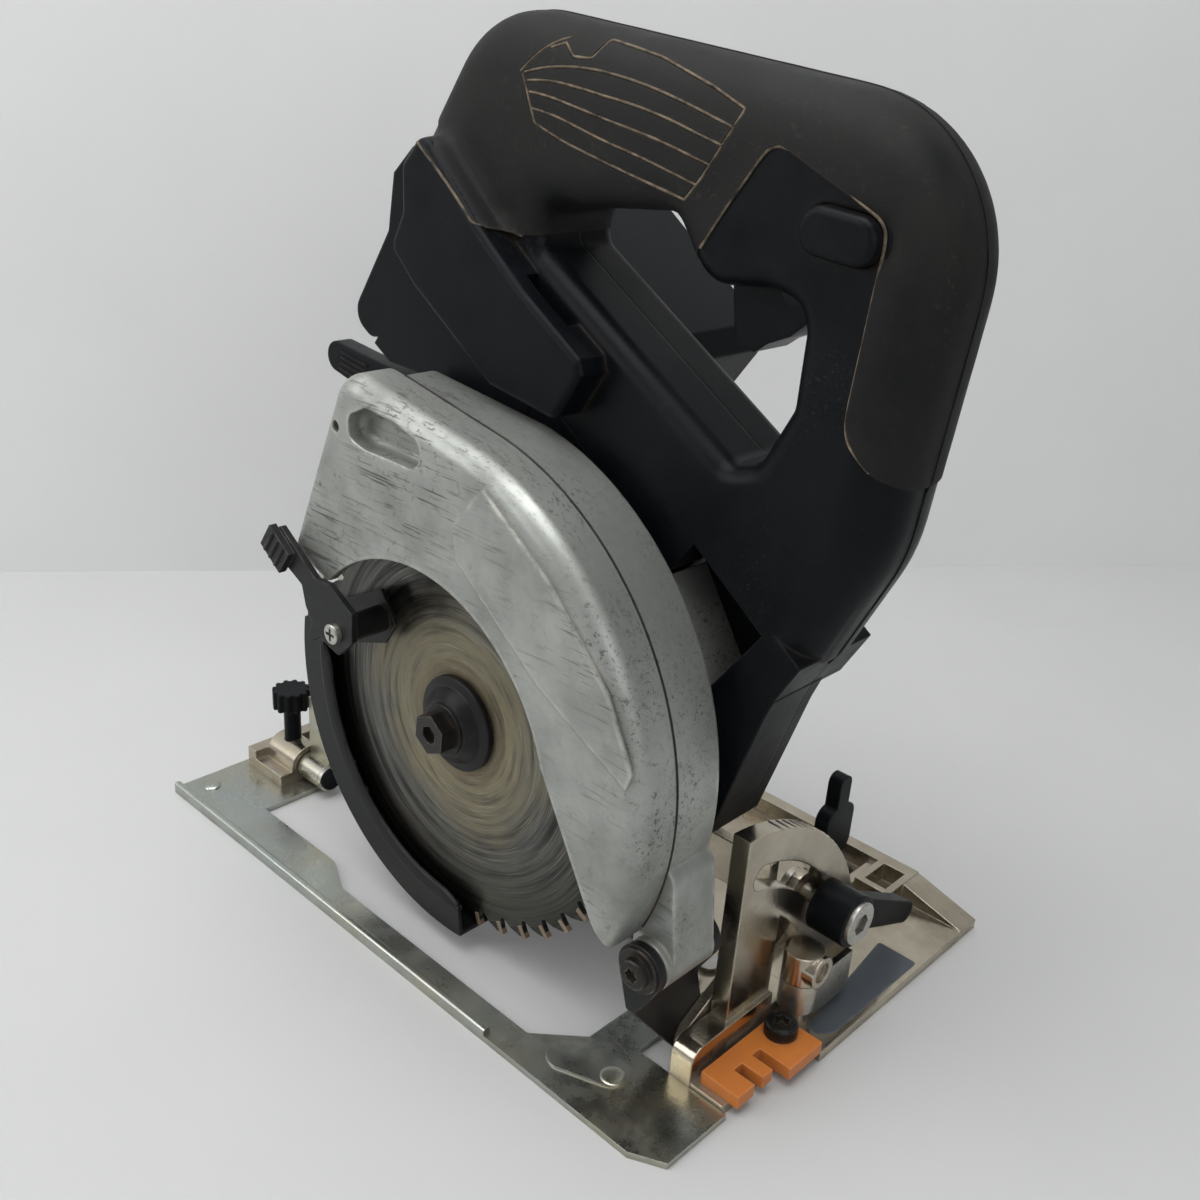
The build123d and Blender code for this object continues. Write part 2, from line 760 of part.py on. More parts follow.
# Handle: a rounded arch over a housing that has a foot in front and a block at the rear
arch_floor = 120.0
arch_rear = (-158.0, arch_floor)
arch_corners = [(-158.0, 175.8), (0.0, 263.0), (57.5, 161.0)]
arch_radii = [34.0, 45.0, 60.0]
arch_front = (65.0, arch_floor)
notch_gap = 0.4
loop_corner = 6.0
lobe_corner = 12.0
loop_edge = 7.0
housing_floor = 104.0
loop_points = [
    (-98, 149), (-58, 184), (-36, 176), (-20, 191), (-10, 195), loop_top, (8, 173), (11, 153), (5, 145),
    (-92, 138),
]
loop_radii = [loop_corner, loop_corner, lobe_corner] + 7 * [loop_corner]
notch_top = 118.0
notch_front = block_u[1] + notch_gap
notch_rear = block_u[0] - notch_gap
foot_top = 106.0
foot_left = 48.0
front_edge = (arch_front[0] + 1, foot_top - 2)
rear_block_corner = 7.0
housing_points = [
    (arch_rear[0] + 3, arch_floor + 2), (arch_rear[0], 108), (-149, 90), (-147.5, 50.5), (-131, 51.5),
    (-131, 90), (-62, 90), (saddle_u[0], housing_floor), front_edge, (arch_front[0] - 1, arch_floor + 2),
]
foot_front = [(notch_front, 86), (60, 72), (72, 46), (84, 50), (68, 98), (66, foot_top)]
right_foot = [(notch_front, foot_top)] + foot_front
left_foot = [(notch_rear, foot_top), (notch_rear, 84)] + foot_front
skirt_points = [
    (-132, 91), (-132, 51), (-122, 52), (-104, 64), (-84, 77), (-62, 88), (-61, 91),
]


switch_above = 9.0
switch_height = 14.0
switch_rear = 32.0
switch_front = 6.0
switch_floor = trigger_pivot_w + switch_above
switch_u = (trigger_pivot_u - switch_rear, trigger_pivot_u + switch_front)
switch_w = (switch_floor, switch_floor + switch_height)
switch_half = 7.5
switch_rib_front = switch_u[0] + 16.0
pocket_half = trigger_half + 1.0
trigger_pocket_u = (trigger_pivot_u - 36.0, trigger_pivot_u + 8.0)
trigger_pocket_w = (trigger_pivot_w - 37.0, switch_w[1])
board_u = (-118.0, -70.0)
board_w = (100.0, 126.0)
board_y = (32.0, 36.0)
trigger_pin = 2.0
pin_reach = trigger_half + 4.0
handle_screw_points = [(-149.0, 106.0), (-128.0, 120.0), (17.0, 196.0), (38.0, 135.0), (-60.0, 120.0)]
handle_screw_head_left = handle_left_y - 1.0
lockoff_angle = 30.0
lockoff_flange = 2.0
lockoff_edge = 2.0
slide_gap = 0.25
screw_boss = 5.0
grip_hollow = [
    (-147, 150), (-143, 161), (-130, 173), (-30, 230), (-8, 232), (4, 228), (12, 220), (22, 203), (38, 168),
    (44, 150), (44, 126), (24, 126), (18, 150), (16, 172), (2, 197), (-22, 206), (-47, 194), (-60, 190),
    (-104, 156), (-106, 146),
]
housing_hollow = [
    (-150, 114), (-147, 136), (-106, 138), (-96, 131), (0, 138), (10, 126), (8, 111), (-54, 111), (-64, 97),
    (-137, 97), (-137, 60), (-143, 60), (-143, 92),
]


def handle_half(right, left, outer_side, foot_points):
    floor = right + handle_wall if outer_side == 0 else left - handle_wall
    inside = sorted((floor, handle_mid))
    with BuildPart() as half:
        with BuildSketch(body_plane(left)) as arch:
            with BuildLine():
                FilletPolyline(arch_rear, *arch_corners, arch_front, radius=arch_radii)
                Line(arch_front, arch_rear)
            make_face()
            with BuildLine():
                FilletPolyline(*loop_points, radius=loop_radii, close=True)
            make_face(mode=Mode.SUBTRACT)
        extrude(arch.sketch, amount=left - right)
        outer_face = half.faces().sort_by(Axis.Y)[outer_side]
        outer_rim = outer_face.outer_wire().edges().filter_by(GeomType.CIRCLE)[0]
        loop_rim = outer_face.inner_wires()[0].edges()
        fillet(outer_rim, handle_edge)
        fillet(loop_rim, loop_edge)
        with BuildSketch(body_plane(left)) as housing:
            with BuildLine():
                Polyline(*housing_points, close=True)
            make_face()
            fillet(housing.vertices().sort_by(Axis.Y)[:2], rear_block_corner)
        extrude(housing.sketch, amount=left - right)
        foot_end = min(left, foot_left)
        with BuildSketch(body_plane(foot_end)) as foot:
            with BuildLine():
                Polyline(*foot_points, close=True)
            make_face()
        extrude(foot.sketch, amount=foot_end - right)
        with BuildSketch(body_plane(inside[1])) as hollow:
            for outline in (grip_hollow, housing_hollow):
                with BuildLine():
                    Polyline(*outline, close=True)
                make_face()
        extrude(hollow.sketch, amount=inside[1] - inside[0], mode=Mode.SUBTRACT)
        for u, w in handle_screw_points:
            body_cylinder(u, w, *inside, screw_boss)
        body_cylinder(trigger_pivot_u, trigger_pivot_w, *inside, screw_boss)
        body_box((switch_u[0], switch_rib_front), (switch_w[1], switch_w[1] + handle_wall), inside)
        pocket_y = (handle_mid - pocket_half, handle_mid + pocket_half)
        body_box(trigger_pocket_u, trigger_pocket_w, pocket_y, Mode.SUBTRACT)
        pin_hole = (handle_mid - pin_reach - side_gap, handle_mid + pin_reach + side_gap)
        body_cylinder(trigger_pivot_u, trigger_pivot_w, *pin_hole, trigger_pin + shaft_fit, Mode.SUBTRACT)
        head_floor = handle_screw_head_left - screw_head_height
        for u, w in handle_screw_points:
            thread = (handle_right_y + handle_wall, handle_left_y)
            body_cylinder(u, w, *thread, screw_radius + thread_fit, Mode.SUBTRACT)
            body_cylinder(u, w, head_floor, handle_left_y, screw_head + thread_fit, Mode.SUBTRACT)
    return half


grip_outline = [
    (-141, 136), (-120, 133), (-108, 141), (-106, 153), (-63, 191), (-53, 193), (-53, 213), (-66, 206),
    (-119, 176), (-140, 157),
]
handle_right = handle_half(handle_right_y, handle_mid, 0, right_foot)
side_block_outline = [
    (-144, 138), (-146, 123), (-137, 111), (-135, 97), (-118, 95), (-72, 97), (-44, 111), (-45, 131),
    (-49, 134), (-80, 132), (-107, 133),
]
side_block_right = 10.0
side_block_corner = 5.0
side_block_edge = 2.5
channel_room = 1.5
channel_left = depth_plate_right + depth_plate_thick + channel_room
handle_floor = handle_right_y + handle_wall
with BuildPart() as side_block:
    with BuildSketch(body_plane(handle_floor)) as side_face:
        with BuildLine():
            Polyline(*side_block_outline, close=True)
        make_face()
        side_corners = side_face.vertices().sort_by(Axis.X)
        fillet(side_corners[:4] + side_corners[-1:], side_block_corner)
    extrude(amount=handle_floor - side_block_right)
    fillet(side_block.faces().sort_by(Axis.Y)[0].edges(), side_block_edge)

with BuildPart() as handle_right_half:
    add(handle_right.part)
    add(side_block.part)
    body_box((notch_rear, notch_front), (block_floor, notch_top), (handle_right_y, handle_mid), Mode.SUBTRACT)
    with BuildSketch(body_plane(handle_floor)):
        with BuildLine():
            Polyline(*skirt_points, close=True)
        make_face()
    extrude(amount=handle_wall)
    with BuildSketch(body_plane(channel_left)):
        with Locations((pivot_u, pivot_w)):
            Circle(lock_reach + depth_plate_width / 2 + channel_room)
            Circle(lock_reach - depth_plate_width / 2 - channel_room, mode=Mode.SUBTRACT)
    extrude(amount=channel_left - depth_plate_right + side_gap, mode=Mode.SUBTRACT)
    body_box(board_u, board_w, (handle_floor, board_y[0]))
    with BuildSketch(body_plane(handle_right_y + rubber_thick - rubber_proud)):
        with BuildLine():
            Polyline(*grip_outline, close=True)
        make_face()
    extrude(amount=rubber_thick, mode=Mode.SUBTRACT)
    with BuildSketch(body_plane(handle_floor)):
        with Locations((lockoff_u, lockoff_w)):
            SlotOverall(
                lockoff_length + 2 * slide_gap, lockoff_width + 2 * slide_gap, rotation=lockoff_angle
            )
    extrude(amount=handle_wall + side_gap, mode=Mode.SUBTRACT)
save(handle_right_half, "handle_right")

handle_left = handle_half(handle_mid, handle_left_y, -1, left_foot)
with BuildPart() as handle_left_half:
    add(handle_left.part)
    with BuildSketch(body_plane(handle_left_y + rubber_proud)):
        with BuildLine():
            Polyline(*grip_outline, close=True)
        make_face()
    extrude(amount=rubber_thick, mode=Mode.SUBTRACT)
save(handle_left_half, "handle_left")

# Screws through the handle halves, driven from the left
with BuildPart() as handle_screws:
    head_floor = handle_screw_head_left - screw_head_height
    for u, w in handle_screw_points:
        body_cylinder(u, w, handle_floor, head_floor, screw_radius)
        body_cylinder(u, w, head_floor, handle_screw_head_left, screw_head)
save(handle_screws, "handle_screws")

# Rubber panels let into both sides of the grip, with finger ribs
rib_count = 5
rib_step = 4.0
rib_angle = 30.0
rib_depth = 1.0
rib_length = 62.0
rib_start = (-92.0, 180.0)


def grip_panel(name, left, groove_left):
    with BuildPart() as panel:
        with BuildSketch(body_plane(left)) as face:
            with BuildLine():
                Polyline(*grip_outline, close=True)
            make_face()
        extrude(face.sketch, amount=rubber_thick)
        with BuildSketch(body_plane(groove_left)) as grooves:
            with Locations(Location((*rib_start, 0), rib_angle)):
                with GridLocations(0, rib_step, 1, rib_count):
                    SlotOverall(rib_length, rib_depth)
        extrude(grooves.sketch, amount=rib_depth, mode=Mode.SUBTRACT)
    save(panel, name)


grip_face = handle_right_y - rubber_proud
grip_panel("grip_right", grip_face + rubber_thick, grip_face + rib_depth)
grip_panel("grip_left", handle_left_y + rubber_proud, handle_left_y + rubber_proud)

# Trigger on its cross pin
trigger_outline = [
    (-23, -16), (-20, -7), (-8, 6), (4, 6), (6, -7), (4, -16), (0, -23), (-1.5, -28), (-5, -30), (-11, -28.5),
    (-17, -22.5),
]
trigger_points = [(trigger_pivot_u + u, trigger_pivot_w + w) for u, w in trigger_outline]
with BuildPart() as trigger:
    with BuildSketch(body_plane(handle_mid + trigger_half)):
        with BuildLine():
            Polyline(*trigger_points, close=True)
        make_face()
    extrude(amount=2 * trigger_half)
    pin_y = (handle_mid - pin_reach, handle_mid + pin_reach)
    body_cylinder(trigger_pivot_u, trigger_pivot_w, *pin_y, trigger_pin)
save(trigger, "trigger")

# Switch block above the trigger
with BuildPart() as switch:
    body_box(switch_u, switch_w, (handle_mid - switch_half, handle_mid + switch_half))
save(switch, "switch")

# Lock-off button through the wall of the right half, with a flange behind it
with BuildPart() as lockoff_button:
    with BuildSketch(body_plane(handle_floor)):
        with Locations((lockoff_u, lockoff_w)):
            SlotOverall(lockoff_length, lockoff_width, rotation=lockoff_angle)
    extrude(amount=handle_wall + lockoff_proud)
    fillet(lockoff_button.faces().sort_by(Axis.Y)[0].edges(), lockoff_edge)
    with BuildSketch(body_plane(handle_floor + lockoff_flange)):
        with Locations((lockoff_u, lockoff_w)):
            SlotOverall(
                lockoff_length + 2 * lockoff_flange,
                lockoff_width + 2 * lockoff_flange,
                rotation=lockoff_angle,
            )
    extrude(amount=lockoff_flange)
save(lockoff_button, "lockoff_button")

# Control board in the rear of the housing
with BuildPart() as control_board:
    body_box(board_u, board_w, board_y)
save(control_board, "control_board")

# Battery housing on the left of the handle, with slide rails under it
battery_u = (-150.0, -54.0)
battery_top = 120.0
battery_floor = 84.0
battery_edge = 7.0
rail_drop = 12.0
rail_lip = 6.0
rail_wall = 3.0
with BuildPart() as battery_housing:
    body_box(battery_u, (battery_floor, battery_top), (handle_left_y, battery_left))
    chamfer(battery_housing.edges().filter_by(Axis.Y), battery_edge)
    body_box(
        (battery_u[0] + battery_edge, battery_u[1] - battery_edge),
        (battery_floor + handle_wall, battery_top - handle_wall),
        (handle_left_y, battery_left - handle_wall),
        Mode.SUBTRACT,
    )
    rail_floor = battery_floor - rail_drop
    for low in (handle_left_y, battery_left - rail_lip):
        body_box(battery_u, (rail_floor, rail_floor + rail_wall), (low, low + rail_lip))
    for low in (handle_left_y, battery_left - rail_wall):
        body_box(battery_u, (rail_floor, battery_floor + rail_wall), (low, low + rail_wall))
save(battery_housing, "battery_housing")

# Terminal block between the rails
terminal_u = (-105.0, -80.0)
terminal_half = 14.0
terminal_height = 8.0
contact_count = 4
contact_width = 1.2
battery_middle = (handle_left_y + battery_left) / 2
with BuildPart() as terminal_block:
    terminal_y = (battery_middle - terminal_half, battery_middle + terminal_half)
    body_box(terminal_u, (battery_floor - terminal_height, battery_floor), terminal_y)
    for index in range(contact_count):
        y = battery_middle + (index - (contact_count - 1) / 2) * 2 * terminal_half / contact_count
        body_box(
            (terminal_u[0] - terminal_height, terminal_u[0]),
            (battery_floor - terminal_height + 1, battery_floor - 1),
            (y - contact_width / 2, y + contact_width / 2),
        )
save(terminal_block, "terminal_block")

# Steel strip of the base, with a rolled bead on its outer edge and a pressed boss
strip_nose_x = 118.0
strip_corner = 6.0
bead_front = 50.0
boss_length = 30.0
boss_width = 13.0
boss_height = 0.8
boss_turn = 21.0
boss_center = (84.0, -13.0)
strip_points = [
    (strip_rear, strip_right), (strip_nose_x, strip_right), (strip_front, strip_right + strip_corner),
    (strip_front, nose_right), (branch_front, nose_right), (branch_front, branch_left),
    (branch_rear, branch_left), (branch_rear, -3), (59, strip_inner), (-50, strip_inner),
    (-66, strip_wide), (rear_band_front, strip_wide), (rear_band_front, rear_band_left),
    (strip_rear, rear_band_left),
]
strip_screw_points = [(83.0, 52.0), (83.0, 40.0), (-141.0, 36.0), (-131.0, 36.0)]
with BuildPart() as base_strip:
    with BuildSketch():
        with BuildLine():
            Polyline(*strip_points, close=True)
        make_face()
    extrude(amount=strip_thick)
    with BuildSketch(Plane.XY.offset(strip_thick)):
        with Locations(boss_center):
            SlotOverall(boss_length, boss_width, rotation=boss_turn)
    extrude(amount=boss_height)
    world_box((strip_rear, bead_front), (strip_right, strip_right + bead_width), (0, bead_height))
    fillet(base_strip.edges().filter_by(Axis.X).sort_by(Axis.Z)[-2:], bead_width / 3)
    for x, y in strip_screw_points:
        upright(x, y, (0, strip_thick), strip_screw + thread_fit, Mode.SUBTRACT)
save(base_strip, "base_strip")

# Cast shoe: plate, rim, ribs, laps over the strip, bevel quadrant and rear barrel
slot_margin = 1.5
bevel_axis = (bevel_axis_y, bevel_axis_z)
bolt_at = polar(slot_radius, bolt_angle, bevel_axis)
post_right = 25.0
post_left = 49.0
arch_left = 86.0
rear_lap_front = barrel_front
front_lap_right = 32.0
lap_reach = 8.0
nose_proud = 2.0
nose_edge = 6.0
nose_x = quadrant_x + quadrant_thick + nose_proud
front_plate_x = 128.0
ramp_x = 106.0
rib_width = 4.0
rib_top = 10.0
pad_x = (92.0, 108.0)
pad_right = 136.0
pad_wall = 3.0
fence_boss = 7.0
fence_boss_top = 8.0
join_gap = 0.3
with BuildPart() as base_shoe:
    world_box((shoe_rear, shoe_front), (shoe_inner, shoe_left), (0, shoe_plate))
    world_box((quadrant_x, front_plate_x), (nose_right + join_gap, shoe_inner), (0, shoe_plate))
    world_box((shoe_rear, rear_lap_front), (nose_right, shoe_inner + rib_width), (strip_thick, lap_height))
    world_box((shoe_rear, rear_lap_front), (rear_band_left + join_gap, shoe_inner), (0, lap_height))
    lap_left = branch_left + lap_reach
    world_box((branch_rear, branch_front), (front_lap_right, lap_left), (strip_thick, lap_height))
    world_box((branch_front + join_gap, quadrant_x), (shoe_inner, lap_left), (0, lap_height))
    world_box(
        (branch_rear - join_gap, branch_front + join_gap),
        (0, branch_left + join_gap),
        (0, strip_thick),
        Mode.SUBTRACT,
    )
    world_box((shoe_rear, ramp_x), (shoe_left - rim_wall, shoe_left), (0, shoe_rim))
    world_box((shoe_rear, shoe_rear + rim_wall), (nose_right, shoe_left), (strip_thick, shoe_rim))
    world_box((pad_x[0] - rib_width, pad_x[0]), (branch_left, shoe_left), (0, rib_top))
    world_box((rear_lap_front, branch_rear), (shoe_inner, shoe_inner + rib_width), (0, lap_height))
    world_box(pad_x, (pad_right, shoe_left), (0, shoe_rim))
    world_box(
        (pad_x[0] + pad_wall, pad_x[1] - pad_wall),
        (pad_right + pad_wall, shoe_left - rim_wall),
        (shoe_plate, shoe_rim),
        Mode.SUBTRACT,
    )
    with BuildSketch(Plane.XZ.offset(-shoe_left)):
        with BuildLine():
            Polyline(
                (ramp_x, 0), (ramp_x, shoe_rim), (shoe_front, shoe_plate), (shoe_front, 0), close=True
            )
        make_face()
    extrude(amount=2 * rim_wall)
    with BuildSketch(cross_plane(quadrant_x)):
        with Locations(bevel_axis):
            Circle(quadrant_radius)
        with Locations(((post_right + shoe_left) / 2, quadrant_radius / 2 + bevel_axis_z)):
            Rectangle(shoe_left - post_right, quadrant_radius + 2 * bevel_axis_z, mode=Mode.INTERSECT)
        with BuildSketch(mode=Mode.PRIVATE) as under_arch:
            with Locations(bevel_axis):
                Circle(quadrant_inner)
            with Locations(((post_left + arch_left) / 2, quadrant_radius / 2 + lap_height)):
                Rectangle(arch_left - post_left, quadrant_radius, mode=Mode.INTERSECT)
        add(under_arch.sketch, mode=Mode.SUBTRACT)
        slot_arc = Edge.make_circle(
            slot_radius,
            Plane((*bevel_axis, 0)),
            start_angle=bolt_angle - slot_margin,
            end_angle=bolt_angle + bevel_range + slot_margin,
        )
        SlotArc(slot_arc, slot_width, mode=Mode.SUBTRACT)
    extrude(amount=quadrant_thick)
    with BuildSketch(cross_plane(quadrant_x)) as nose:
        with Locations(((nose_right + post_left) / 2, nose_height / 2)):
            Rectangle(post_left - nose_right, nose_height)
        fillet(nose.vertices().group_by(Axis.Y)[-1].sort_by(Axis.X)[0], nose_edge)
    extrude(amount=nose_x - quadrant_x)
    along_x((barrel_rear, barrel_front), *bevel_axis, barrel_radius)
    world_box(
        (barrel_rear, barrel_front),
        (bevel_axis_y - barrel_radius, bevel_axis_y + barrel_radius),
        (strip_thick, bevel_axis_z),
    )
    world_box(
        (strip_rear, rear_lap_front + join_gap),
        (0, rear_band_left + join_gap),
        (0, strip_thick),
        Mode.SUBTRACT,
    )
    along_x((barrel_rear, nose_x), *bevel_axis, pin_radius + shaft_fit, Mode.SUBTRACT)
    barrel_top = bevel_axis_z + barrel_radius
    upright(thumb_x, bevel_axis_y, (bevel_axis_z, barrel_top), screw_head + shaft_fit, Mode.SUBTRACT)
    upright(wing_x, wing_y, (0, fence_boss_top), fence_boss)
    upright(wing_x, wing_y, (0, fence_boss_top), screw_head + shaft_fit, Mode.SUBTRACT)
    for x, y in strip_screw_points:
        upright(x, y, (strip_thick, lap_height), strip_screw + thread_fit, Mode.SUBTRACT)
save(base_shoe, "base_shoe")

# Screws that hold the strip under the shoe
strip_screw_rise = 2.0
with BuildPart() as strip_screws:
    for x, y in strip_screw_points:
        upright(x, y, (0, lap_height), strip_screw)
        upright(x, y, (lap_height, lap_height + strip_screw_rise), strip_screw + strip_screw_rise)
save(strip_screws, "strip_screws")

# Orange sight with notches for the cut line, held by one screw
sight_rear = nose_x + 2.0
sight_front = 136.0
sight_step = 4.0
sight_right = 8.0
sight_left = 50.0
sight_height = 5.0
notch_depth = 9.0
notch_half = 2.2
notch_y = (19.0, 29.0)
sight_screw_at = (123.0, 43.0)
sight_screw_head = 6.0
sight_screw_rise = 5.0
sight_top = shoe_plate + sight_height
with BuildPart() as cut_sight:
    world_box((sight_rear, sight_front), (sight_right, sight_left), (shoe_plate, sight_top))
    world_box(
        (sight_front - sight_step, sight_front),
        (sight_right, notch_y[1]),
        (shoe_plate, sight_top),
        Mode.SUBTRACT,
    )
    for y in notch_y:
        notch_x = (sight_front - sight_step - notch_depth, sight_front)
        world_box(notch_x, (y - notch_half, y + notch_half), (shoe_plate, sight_top), Mode.SUBTRACT)
    upright(*sight_screw_at, (shoe_plate, sight_top), screw_radius + thread_fit, Mode.SUBTRACT)
save(cut_sight, "cut_sight")

with BuildPart() as sight_screw:
    upright(*sight_screw_at, (shoe_plate, sight_top), screw_radius)
    upright(*sight_screw_at, (sight_top, sight_top + sight_screw_rise), sight_screw_head)
save(sight_screw, "sight_screw")

# Bevel stop: an upright post with a collar, and the stop lever that turns on it
stop_at = (stop_x, stop_y)
stop_radius = 7.0
stop_floor = 12.0
stop_height = 12.0
stop_top = stop_floor + stop_height + slide_gap
stop_arm = 26.0
stop_plate = 2.5
stop_drop = 5.0
stop_head = 12.0
stop_screw = 6.0
stop_screw_front = 128.0
with BuildPart() as stop_lever:
    upright(*stop_at, (stop_floor, stop_floor + stop_height), stop_radius)
    world_box(
        (stop_x + stop_plate, stop_x + 2 * stop_plate),
        (stop_y + stop_radius - stop_plate, stop_y + stop_arm),
        (stop_floor - stop_drop, stop_floor + stop_height),
    )
    upright(*stop_at, (0, stop_top), screw_head + shaft_fit, Mode.SUBTRACT)
save(stop_lever, "stop_lever")

with BuildPart() as stop_post:
    upright(*stop_at, (shoe_plate, stop_top), screw_head)
    upright(*stop_at, (shoe_plate, stop_floor - slide_gap), screw_head + 1)
    upright(*stop_at, (stop_top, stop_top + stop_head), stop_radius)
    stop_middle = stop_top + stop_head / 2
    along_x((stop_x, stop_screw_front), stop_y, stop_middle, stop_screw)
    along_x((stop_x + stop_radius, stop_screw_front), stop_y, stop_middle, screw_head, Mode.SUBTRACT)
save(stop_post, "stop_post")

# Wing bolt of the fence clamp
wing_z = (22.0, 46.0)
wing_width = 19.0
wing_thick = 6.0
wing_tip = 60.0
wing_tip_width = 8.0
with BuildPart() as wing_bolt:
    upright(wing_x, wing_y, (0, wing_z[0]), screw_head)
    with BuildSketch(cross_plane(wing_x - wing_thick / 2)) as wing:
        with Locations((wing_y, (wing_z[0] + wing_z[1]) / 2)):
            RectangleRounded(wing_width, wing_z[1] - wing_z[0], wing_thick)
        with Locations((wing_y, (wing_z[0] + wing_tip) / 2)):
            RectangleRounded(wing_tip_width, wing_tip - wing_z[0], wing_tip_width / 2 - slide_gap)
    extrude(amount=wing_thick)
save(wing_bolt, "wing_bolt")

# Thumb screw over the rear bevel barrel, with a ribbed head
thumb_floor = 34.0
thumb_height = 9.0
thumb_ribs = 12
thumb_rib = 1.3
with BuildPart() as thumb_screw:
    upright(thumb_x, bevel_axis_y, (bevel_axis_z + pin_radius + slide_gap, thumb_floor), screw_head)
    upright(thumb_x, bevel_axis_y, (thumb_floor, thumb_floor + thumb_height), thumb_radius)
    with Locations((thumb_x, bevel_axis_y, thumb_floor + thumb_height / 2)):
        with PolarLocations(thumb_radius, thumb_ribs):
            Cylinder(thumb_rib, thumb_height, mode=Mode.SUBTRACT)
save(thumb_screw, "thumb_screw")

# Black front bracket: a boss on the bevel axis and two cheeks for the depth pivot
cheek_right = lug_right - side_gap - cheek_thick
cheek_left = lug_left + side_gap
cheek_radius = 9.0
shelf_room = 3.0
shelf_z = depth_pivot_z - lug_radius - shelf_room
shelf_drop = 6.0
arm_rear = quadrant_x - bracket_gap - bracket_thick
bracket_rear = arm_rear - bracket_thick
bracket_boss = 8.0
with BuildPart() as front_bracket:
    with BuildSketch(cross_plane(bracket_rear)) as web:
        with Locations(bevel_axis):
            Circle(bracket_boss)
        with Locations(((cheek_right + cheek_left + cheek_thick) / 2, shelf_z - shelf_drop / 2)):
            Rectangle(cheek_left + cheek_thick - cheek_right, shelf_drop)
        make_hull()
    extrude(amount=bracket_thick)
    for low in (cheek_right, cheek_left):
        with BuildSketch(Plane.XZ.offset(-low - cheek_thick)) as cheek:
            with Locations((depth_pivot_x, depth_pivot_z)):
                Circle(cheek_radius)
            with Locations((bracket_rear + bracket_thick / 2, shelf_z - shelf_drop / 2)):
                Rectangle(bracket_thick, shelf_drop)
            make_hull()
        extrude(amount=cheek_thick)
    along_x((bracket_rear, arm_rear), *bevel_axis, pin_radius + thread_fit, Mode.SUBTRACT)
    body_cylinder(
        pivot_u, pivot_w, cheek_right, cheek_left + cheek_thick, pivot_radius + thread_fit, Mode.SUBTRACT
    )
save(front_bracket, "front_bracket")

# Nickel bevel arm between the bracket and the quadrant, with a tongue to the rear
arm_front = arm_rear + bracket_thick
tongue_y = (52.0, 57.0)
tongue_rear = 68.0
tongue_z = (47.0, 65.0)
with BuildPart() as bevel_arm:
    with BuildSketch(cross_plane(arm_rear)) as arm:
        with Locations(bevel_axis, bolt_at):
            Circle(bracket_boss)
        make_hull()
    extrude(amount=bracket_thick)
    with BuildSketch(Plane.XZ.offset(-tongue_y[1])) as tongue:
        with Locations(((tongue_rear + arm_front) / 2, (tongue_z[0] + tongue_z[1]) / 2)):
            Rectangle(arm_front - tongue_rear, tongue_z[1] - tongue_z[0])
        chamfer(tongue.vertices().group_by(Axis.X)[0], (tongue_z[1] - tongue_z[0]) / 3)
    extrude(amount=tongue_y[1] - tongue_y[0])
    world_box((arm_rear, arm_front), tongue_y, (bevel_axis_z + bracket_boss, tongue_z[1]))
    along_x((arm_rear, arm_front), *bevel_axis, pin_radius + thread_fit, Mode.SUBTRACT)
    along_x((arm_rear, arm_front), *bolt_at, bolt_radius + thread_fit, Mode.SUBTRACT)
save(bevel_arm, "bevel_arm")

# Depth pivot screw through the cheeks and the lug
pivot_head_height = 4.0
with BuildPart() as depth_pivot_screw:
    pivot_left = cheek_left + cheek_thick
    body_cylinder(pivot_u, pivot_w, cheek_right, pivot_left, pivot_radius)
    body_cylinder(pivot_u, pivot_w, cheek_right - pivot_head_height, cheek_right, pivot_head)
    body_cylinder(pivot_u, pivot_w, pivot_left, pivot_left + pivot_head_height, pivot_head)
save(depth_pivot_screw, "depth_pivot_screw")

# Pins of the bevel axis, front and rear, each with a head
pin_head = 2.0
with BuildPart() as front_bevel_pin:
    along_x((bracket_rear - pin_head, nose_x), *bevel_axis, pin_radius)
    along_x((bracket_rear - pin_head, bracket_rear), *bevel_axis, pin_radius + pin_head)
save(front_bevel_pin, "front_bevel_pin")

with BuildPart() as rear_bevel_pin:
    along_x((barrel_rear, rear_bracket_front + pin_head), *bevel_axis, pin_radius)
    along_x((rear_bracket_front, rear_bracket_front + pin_head), *bevel_axis, pin_radius + pin_head)
save(rear_bevel_pin, "rear_bevel_pin")

# Bevel lock bolt through the arc slot
bolt_head = 3.0
lever_rear = quadrant_x + quadrant_thick + slide_gap
lever_front = lever_rear + bevel_lever_length
with BuildPart() as bevel_lock_bolt:
    along_x((arm_rear - bolt_head, lever_front), *bolt_at, bolt_radius)
    along_x((arm_rear - bolt_head, arm_rear), *bolt_at, bolt_radius + bolt_head)
save(bevel_lock_bolt, "bevel_lock_bolt")

# Bevel clamp lever: a round hub with a long wing
wing_direction = -26.0
wing_length = 54.0
wing_root = 7.0
wing_end = 4.5
wing_rear = 3.0
wing_depth = 7.0
with BuildPart() as bevel_lever:
    along_x((lever_rear, lever_front), *bolt_at, bevel_lever_radius)
    with BuildSketch(cross_plane(lever_rear + wing_rear)) as handle_wing:
        with Locations(bolt_at):
            Circle(wing_root)
        with Locations(polar(wing_length, wing_direction, bolt_at)):
            Circle(wing_end)
        make_hull()
    extrude(amount=wing_depth)
    along_x((lever_rear, lever_front), *bolt_at, bolt_radius + shaft_fit, Mode.SUBTRACT)
save(bevel_lever, "bevel_lever")

